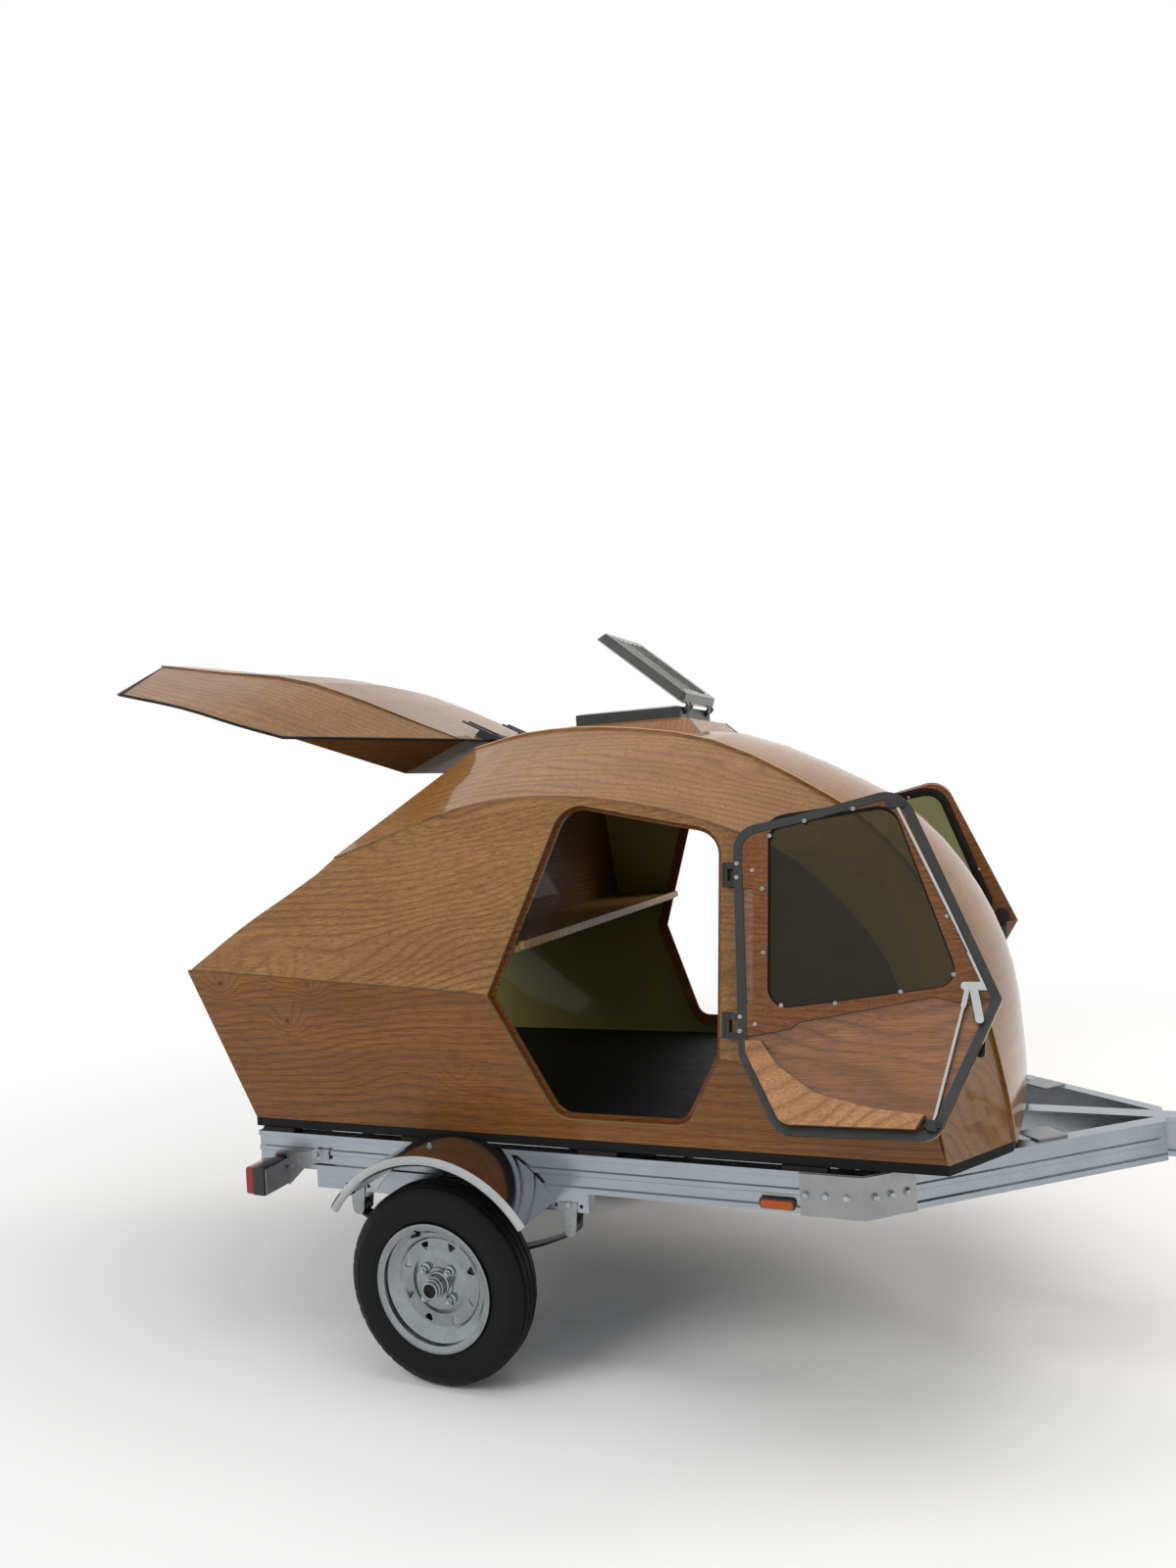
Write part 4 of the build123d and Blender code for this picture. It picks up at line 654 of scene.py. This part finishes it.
# U-bolts that hold the axle on the leaf springs, with their plates
U_BOLT_X = 29
U_BOLT_Y = (597, 650)
U_BOLT_Z = (232, 300)
U_BOLT_RADIUS = 5
PAD_Z = 225
straps = Form()
for hand in SIDES.values():
    middle = sum(U_BOLT_Y) / 2
    pad = seat(spot(0, hand * middle, PAD_Z), (0, 0, 1))
    straps.slab(pad, rounded(92, 74, 8), 3, 9, 1.0)
    for x in (-U_BOLT_X, U_BOLT_X):
        for y in U_BOLT_Y:
            straps.tube([spot(x, hand * y, z) for z in U_BOLT_Z], U_BOLT_RADIUS, 10)
            under = pad @ Matrix.Translation((x, y - middle, 2)) @ Matrix.Rotation(math.pi, 4, "X")
            straps.bolt(under, 15.0, 8.0, 10.0)
        straps.tube([spot(x, hand * y, U_BOLT_Z[1]) for y in U_BOLT_Y], U_BOLT_RADIUS, 10)
straps.piece("axle_straps", "steel", "trailer")

# Tail lamps: black housing with a ribbed red lens behind it; side markers: amber lens on a black base
LAMP = (-610, 702, 473)
LAMP_WIDTH = 100
LAMP_HEIGHT = 82
LAMP_DEPTH = 36
RIM_DEPTH = 5
LENS_DEPTH = 31.5
MARKER = (889, 502.4)
BASE_DEPTH = 4
housing, lens, base, marker = Form(), Form(), Form(), Form()
for hand in SIDES.values():
    back = seat(spot(LAMP[0], hand * LAMP[1], LAMP[2]), (-1, 0, 0), (0, 1, 0))
    front = back @ Matrix.Rotation(math.pi, 4, "X")
    housing.slab(front, rounded(LAMP_WIDTH, LAMP_HEIGHT, 9), 0, LAMP_DEPTH, 5)
    housing.slab(back, rounded(LAMP_WIDTH, LAMP_HEIGHT, 9), 0, RIM_DEPTH, 0.6)
    lens.slab(back, rounded(LAMP_WIDTH - 4, LAMP_HEIGHT - 4, 8), RIM_DEPTH, LENS_DEPTH, 5)
    for y in range(-30, 31, 12):
        rib = back @ Matrix.Translation((0, y, 0))
        lens.slab(rib, rounded(82, 5, 2), LENS_DEPTH - 0.5, LENS_DEPTH + 0.5, 0.5)
    out = seat(spot(MARKER[0], hand * RAIL_Y, MARKER[1]), (0, hand, 0))
    base.slab(out, rounded(90, 26, 9), 0, BASE_DEPTH, 1)
    marker.slab(out, rounded(82, 20, 8), BASE_DEPTH, 11.8, 3)
    for x in range(-32, 33, 8):
        marker.slab(out @ Matrix.Translation((x, 0, 0)), rounded(3, 13, 1), 11.4, 12.2, 0.4)
    for x in (-40.5, 40.5):
        base.screw(out @ Matrix.Translation((x, 0, BASE_DEPTH)), 2.6, 1.4)
housing.piece("lamp_housings", "black", "trailer", ["tail_lamps"])
lens.piece("lamp_lenses", "red", "trailer")
base.piece("marker_bases", "black", "trailer", ["side_markers"])
marker.piece("marker_lenses", "amber", "trailer")


def window_outline(grow, steps=7):
    """Window's outline grown all round, in millimetres ahead of the axle and above the floor."""
    points = []
    for k, (x, z, radius) in enumerate(WINDOW):
        here = Vector((x, z))
        a = (Vector(WINDOW[k - 1][:2]) - here).normalized()
        b = (Vector(WINDOW[(k + 1) % len(WINDOW)][:2]) - here).normalized()
        half = a.angle(b) / 2
        centre = here + (a + b).normalized() * radius / math.sin(half)
        start = here + a * radius / math.tan(half) - centre
        end = here + b * radius / math.tan(half) - centre
        for s in range(steps + 1):
            points.append(centre + (start.lerp(end, s / steps)).normalized() * (radius + grow))
    full = []
    for k, here in enumerate(points):
        after = points[(k + 1) % len(points)]
        count = max(1, int((after - here).length / 45))
        full += [here.lerp(after, s / count) for s in range(count)]
    return full


def on_door(side, x, height, depth):
    """Point of an open door, from its closed place above the floor and its depth behind the outer face."""
    hand = SIDES[side]
    return OPEN[side] @ spot(x, hand * (side_y(x, height) - depth), FLOOR_TOP + height)


def door_seat(side, x, height, depth, inward=True):
    """Seat on an open door that faces into the cabin, or out of it, when the door is closed."""
    here, ahead, above = [on_door(side, x + a, height + b, depth) for a, b in ((0, 0), (5, 0), (0, 5))]
    out = (ahead - here).cross(above - here) * (-SIDES[side])
    return seat(here, -out if inward else out, ahead - here)


def window_ring(form, side, section):
    """Trim along the window's outline, with a section of how far out of it and how deep each corner is."""
    edges = [(window_outline(grow), depth) for grow, depth in section]
    form.loft([
        [on_door(side, outline[k][0], outline[k][1], depth) for outline, depth in edges]
        for k in range(len(edges[0][0]))
    ], loop=True)


# Doors: screws of the surround and the hinges, window gasket and latch fittings, placed as on closed doors
SURROUND = [
    (604, 804), (486, 829), (689, 768), (710, 639), (711, 487),
    (672, 365), (547, 373), (398, 402), (279, 442), (285, 572),
]
HINGE_SCREWS = [(770, 699), (771, 665), (733, 683), (770, 336), (771, 303), (735, 320)]
LINING_FACE = 15
WASHER_FACE = -4
LATCH_TOP = (386, 836)
LATCH_FOOT = (331, 97)
# Sections of the window gasket, outer and inner: out of the window's outline and depth behind the outer face
GASKET_OUTER = [(-4, -1.55), (-3, -3.6), (0, -4.2), (20, -4.2), (23, -2.6), (23.5, -0.1)]
GASKET_INNER = [(-3.5, 4.1), (-3.5, 9), (-2, 12), (0.3, 12), (0.3, 4.1)]
HINGE_X = 800
HINGE_Z = (942, 1301)
HINGE_RISE = 20
OPEN = {side: opened(f"door_{side}_swing") for side in SIDES}
for side in SIDES:
    body = f"door_{side}"
    screws = Form()
    for x, height in SURROUND + HINGE_SCREWS:
        screws.screw(door_seat(side, x, height, LINING_FACE))
    for x, height in SURROUND:
        screws.screw(door_seat(side, x, height, WASHER_FACE, inward=False), 5.0, 3.0)
    screws.piece(f"door_screws_{side}", "bolt", body)

    gasket = Form()
    window_ring(gasket, side, GASKET_OUTER)
    window_ring(gasket, side, GASKET_INNER)
    gasket.piece(f"window_gasket_{side}", "rubber", body)

    fittings = Form()
    top = door_seat(side, *LATCH_TOP, LINING_FACE)
    fittings.slab(top, rounded(46, 22, 8), 0, 8, 2)
    foot = door_seat(side, *LATCH_FOOT, LINING_FACE)
    fittings.slab(foot, rounded(36, 18, 6), 0, 9, 2)
    fittings.slab(foot @ Matrix.Translation((0, 10, 0)), rounded(22, 14, 5), 0, 12, 2)
    for x in (-15, 15):
        fittings.screw(top @ Matrix.Translation((x, 0, 8)), 4.0, 2.4)
        fittings.screw(foot @ Matrix.Translation((x * 0.8, 0, 9)), 3.4, 2.0)
    fittings.piece(f"latch_fittings_{side}", "black", body)

hinge_screws = Form()
for hand in SIDES.values():
    for z in HINGE_Z:
        for rise in (-HINGE_RISE, HINGE_RISE):
            height = z + rise - FLOOR_TOP
            place = spot(HINGE_X, hand * (side_y(HINGE_X, height) + 3), z + rise)
            hinge_screws.screw(seat(place, (0, hand, 0.1)), 4.5, 2.2)
hinge_screws.piece("hinge_screws", "black_steel", "trailer")

# Seams: pale filler along the roof seams, a dark line along the chines and a trim on the curb's front corners
CHINE_RUNS = [(-800, 165), (792, 1262)]
CHINE_STEP = 40
ROOF_TOP = 1106
CURB_CORNER = (604, 190)
CURB_SLOPE = (0.95, 0.88)
filler, chines, trims = Form(), Form(), Form()


def roof_edge(row):
    """Edge of the centre plank's upper face at a station, its half width, and the top of its crown."""
    lap_x, lap_y, lap_z, seam_x, seam_y, seam_z, crown = row
    reach = math.hypot(seam_x - lap_x, seam_z - lap_z)
    width = math.hypot(reach, lap_y - seam_y)
    half = seam_y + SKIN * reach / width
    base = reach + SKIN * (lap_y - seam_y) / width
    radius = (half**2 + crown**2) / (2 * crown)
    grown = (radius + SKIN) / radius
    middle = base + crown - radius
    edge = middle + (base - middle) * grown

    def at(run):
        return lap_x + (seam_x - lap_x) * run / reach, lap_z + (seam_z - lap_z) * run / reach

    return at(edge), half * grown, at(base + crown + SKIN)


for hand in SIDES.values():
    path = []
    for row in ROOF:
        (x, z), half, _ = roof_edge(row)
        path.append(spot(x, hand * (half - 0.6), FLOOR_TOP + z - 0.4))
    filler.tube(path, 1.8, 6)
    for start, end in CHINE_RUNS:
        count = int((end - start) / CHINE_STEP)
        places = [start + (end - start) * k / count for k in range(count + 1)]
        chines.tube([spot(x, hand * side_y(x, chine(x)), FLOOR_TOP + chine(x)) for x in places], 1.1, 6)
    corner = []
    for drop in (0, 20, 40, 60):
        ahead, beside = [start + slope * drop for start, slope in zip(CURB_CORNER, CURB_SLOPE)]
        corner.append(spot(ahead, hand * beside, FLOOR_TOP + ROOF_TOP - drop))
    trims.tube(corner, 2.6, 8)
filler.piece("seam_filler", "glue", "trailer")
chines.piece("chine_lines", "chine_dark_line", "trailer")
trims.piece("curb_trims", "bolt", "trailer")

# Hatch: rubber edging all round and pointed straps behind its hinges
HATCH_OPEN = opened("hatch_lift")
EDGING_RADIUS = 4.6
EDGING_GAP = 0.06
EDGING_OFF = (3.0, 1.0, 7.5)
FRONT_LEAN = -5
TAIL_LEAN = 10
END_STEPS = 5
END_DROP = 2
END_SHARE = 0.99
STRAP_BACK = -84
STRAP_SIDES = (-161, -119, 119, 161)
STRAP_RISE = 1081
STRAP_OUTLINE = [(22, -8), (22, 8), (-20, 8), (-96, 1.5), (-96, -1.5), (-20, -8)]


def hatch_lap(row, hand):
    """Middle of the board's edge at the lap of a tail station, on the open hatch."""
    x, y, z = [place + off for place, off in zip(row[:3], EDGING_OFF)]
    return HATCH_OPEN @ spot(x, hand * y, FLOOR_TOP + z)


def hatch_end(row, lean):
    """Points across the centre plank's end, from the right seam to the left."""
    (x, z), half, (top_x, top_z) = roof_edge(row)
    points = []
    for k in range(-END_STEPS, END_STEPS + 1):
        across = k / END_STEPS
        share = 1 - across**2
        ahead = x + (top_x - x) * share + lean
        above = z + (top_z - z) * share - END_DROP
        points.append(HATCH_OPEN @ spot(ahead, half * across * END_SHARE, FLOOR_TOP + above))
    return points


edging = Form()
right_laps = [hatch_lap(row, -1) for row in TAIL]
left_laps = [hatch_lap(row, 1) for row in TAIL]
around = right_laps + hatch_end(TAIL[-1], FRONT_LEAN) + left_laps[::-1] + hatch_end(TAIL[0], TAIL_LEAN)[::-1]
smooth = []
for k, here in enumerate(around):
    after = around[(k + 1) % len(around)]
    smooth.append(here)
    if (after - here).length > EDGING_GAP:
        smooth.append(here.lerp(after, 0.5))
edging.tube(smooth, EDGING_RADIUS, 10, loop=True)
edging.piece("hatch_edging", "rubber", "hatch")

strap = Form()
for y in STRAP_SIDES:
    flat = seat(spot(STRAP_BACK, y, FLOOR_TOP + STRAP_RISE), (-0.45, 0, 1), turn=HATCH_OPEN)
    strap.slab(flat, STRAP_OUTLINE, -4, 2, 1)
strap.piece("hinge_straps", "black_steel", "hatch")

# Roof vent: ribs and a pale edge on the lid, a pale lip inside the base
VENT_OPEN = opened("vent_lid_lift")
BASE_RISE = 33
VENT_TOP = FLOOR_TOP + ROOF_TOP + SKIN + BASE_RISE
VENT_X = 394
LID_RISE = 36
EDGE_RISE = 6
LIP_RINGS = [(326, 20, -0.2), (322, 18, 3), (306, 15, 5), (286, 14, 4), (283, 13, -0.2)]
lid_ribs, lid_edge, vent_lip = Form(), Form(), Form()
top = seat(spot(VENT_X, 0, VENT_TOP + LID_RISE), (0, 0, 1), turn=VENT_OPEN)
for y in range(-105, 106, 42):
    lid_ribs.slab(top @ Matrix.Translation((0, y, 0)), rounded(268, 7, 3), -0.5, 2.2, 1)
lid_ribs.slab(top, rounded(300, 300, 24), -0.5, 0.6, 0.4)
low = seat(spot(VENT_X, 0, VENT_TOP + EDGE_RISE), (0, 0, 1), turn=VENT_OPEN)
lid_edge.tube([low @ Vector((x, y, 1)) for x, y in rounded(344, 344, 24, 6)], 1.7, 8, loop=True)
rim = seat(spot(VENT_X, 0, VENT_TOP), (0, 0, 1))
vent_lip.loft([
    [rim @ Vector((x, y, z)) for x, y in rounded(wide, wide, corner, 6)]
    for wide, corner, z in LIP_RINGS
], loop=True)
lid_ribs.piece("lid_ribs", "lid", "vent_lid")
lid_edge.piece("lid_edge", "pale", "vent_lid")
vent_lip.piece("vent_lip", "pale", "trailer")

# Jack crank and the coupler's latch
JACK_TOP = (2230, -72, 690)
CAP_PROFILE = [(-2, 27.5), (4, 27.5), (9, 23), (12, 12), (22, 9)]
CRANK_BENDS = [(2230, -72, 700), (2230, -72, 716), (2226, -76, 722), (2160, -130, 722), (2148, -140, 724)]
GRIP_FOOT = (2148, -140, 722)
GRIP_PROFILE = [(0, 8), (3, 12), (30, 13.5), (52, 12), (60, 8), (62, 3)]
LATCH_PLACE = (2612, 0, 558)
LATCH_BOLT_X = (2574, 2590)
LATCH_BOLT_Y = 32
LATCH_BOLT_Z = 512
crank = Form()
crank.lathe(seat(spot(*JACK_TOP), (0, 0, 1)), CAP_PROFILE, 32)
crank.tube([spot(*bend) for bend in CRANK_BENDS], 6, 12)
crank.piece("jack_crank", "steel", "trailer")
grip = Form()
grip.lathe(seat(spot(*GRIP_FOOT), (0, 0, 1)), GRIP_PROFILE, 24)
grip.piece("jack_grip", "rubber", "trailer")
latch = Form()
lever = seat(spot(*LATCH_PLACE), (0.35, 0, 1))
latch.slab(lever, rounded(70, 20, 6), -8, 6, 2)
latch.slab(lever @ Matrix.Translation((-34, 0, 0)), rounded(18, 30, 6), -4, 12, 3)
for x in LATCH_BOLT_X:
    for hand in SIDES.values():
        latch.bolt(seat(spot(x, hand * LATCH_BOLT_Y, LATCH_BOLT_Z), (0, hand, 0)), 15.0, 6.0, 9.0)
latch.piece("coupler_latch", "steel", "trailer")

# Floor, which keeps the shadow near the trailer and fades into the white background
FADE_START = 2.2
FADE_END = 5.5
bpy.ops.mesh.primitive_plane_add(size=60, location=(0, 0, -0.001))
floor = bpy.context.object
floor.name = "floor"
ground = Nodes("floor_pale", (0.80, 0.80, 0.795), 0.9, Specular_IOR_Level=0.1)
soft = ground.noise(ground.place, 1.3, 3.0)
ground.link(ground.mix(soft, (0.79, 0.79, 0.785, 1), (0.81, 0.81, 0.805, 1)), "Base Color")
reach = ground.vector("LENGTH", ground.place, (0, 0, 0), "Value")
fade = ground.add(
    "ShaderNodeMapRange", Value=reach, From_Min=FADE_START, From_Max=FADE_END,
    interpolation_type="SMOOTHSTEP",
)
path = ground.add("ShaderNodeLightPath")
seen = ground.maths("MAXIMUM", path.outputs["Is Camera Ray"], path.outputs["Is Glossy Ray"])
seen = ground.maths("MAXIMUM", seen, path.outputs["Is Transmission Ray"])
glow = ground.add("ShaderNodeEmission")
blend = ground.add("ShaderNodeMixShader", Fac=ground.maths("MULTIPLY", fade.outputs[0], seen))
ground.tree.links.new(ground.shader.outputs[0], blend.inputs[1])
ground.tree.links.new(glow.outputs[0], blend.inputs[2])
ground.tree.links.new(blend.outputs[0], ground.tree.nodes["Material Output"].inputs["Surface"])
floor.data.materials.append(ground.material)

# World: a plain sky that lights the object, white where it is seen or mirrored
world = bpy.data.worlds.new("studio")
bpy.context.scene.world = world
world.use_nodes = True
tree = world.node_tree
sky = tree.nodes["Background"]
sky.inputs[0].default_value = (0.95, 0.97, 1.0, 1)
sky.inputs[1].default_value = 0.55
white = tree.nodes.new("ShaderNodeBackground")
white.inputs[0].default_value = (1, 1, 1, 1)
light_path = tree.nodes.new("ShaderNodeLightPath")
seen = light_path.outputs["Is Camera Ray"]
for ray in ("Is Transmission Ray", "Is Glossy Ray"):
    either = tree.nodes.new("ShaderNodeMath")
    either.operation = "MAXIMUM"
    tree.links.new(seen, either.inputs[0])
    tree.links.new(light_path.outputs[ray], either.inputs[1])
    seen = either.outputs[0]
choose = tree.nodes.new("ShaderNodeMixShader")
tree.links.new(seen, choose.inputs[0])
tree.links.new(sky.outputs[0], choose.inputs[1])
tree.links.new(white.outputs[0], choose.inputs[2])
tree.links.new(choose.outputs[0], tree.nodes["World Output"].inputs[0])


def lamp(name, place, aim, size, power, colour=(1, 1, 1)):
    """Area lamp turned to its aim, not mirrored in the varnish."""
    data = bpy.data.lights.new(name, "AREA")
    data.shape = "RECTANGLE"
    data.size, data.size_y = size
    data.energy = power
    data.color = colour
    item = bpy.data.objects.new(name, data)
    item.location = place
    item.rotation_euler = (Vector(aim) - Vector(place)).to_track_quat("-Z", "Y").to_euler()
    item.visible_glossy = False
    bpy.context.collection.objects.link(item)


lamp("key", (-3.5, -5.5, 5.0), (0, 0, 0.8), (4, 4), 260, (1.0, 0.98, 0.95))
lamp("far", (4.5, 4.0, 4.2), (0.2, 0, 1.0), (3, 3), 220, (1.0, 0.93, 0.82))
lamp("top", (0, 0, 6.0), (0, 0, 0), (5, 4), 170)

# Camera, fitted to the photograph
YAW, PITCH, ROLL = 0.396797, 0.0116123, -0.0605690
FOCAL = 1119.917
PHOTO_WIDTH = 1600
SENSOR_WIDTH = 36.0
STAND = (1557.98, -3271.10, 1517.77)
ahead = Vector((-math.sin(YAW) * math.cos(PITCH), math.cos(YAW) * math.cos(PITCH), math.sin(PITCH)))
level = Vector((math.cos(YAW), math.sin(YAW), 0))
lift = level.cross(ahead)
right = level * math.cos(ROLL) + lift * math.sin(ROLL)
up = lift * math.cos(ROLL) - level * math.sin(ROLL)
eye = bpy.data.cameras.new("camera")
eye.sensor_fit = "AUTO"
eye.sensor_width = SENSOR_WIDTH
eye.lens = FOCAL / PHOTO_WIDTH * SENSOR_WIDTH
camera = bpy.data.objects.new("camera", eye)
stand = spot(*STAND)
camera.matrix_world = Matrix((
    (right.x, up.x, -ahead.x, stand.x),
    (right.y, up.y, -ahead.y, stand.y),
    (right.z, up.z, -ahead.z, stand.z),
    (0, 0, 0, 1),
))
bpy.context.collection.objects.link(camera)
bpy.context.scene.camera = camera
bpy.context.scene.view_settings.view_transform = "Standard"
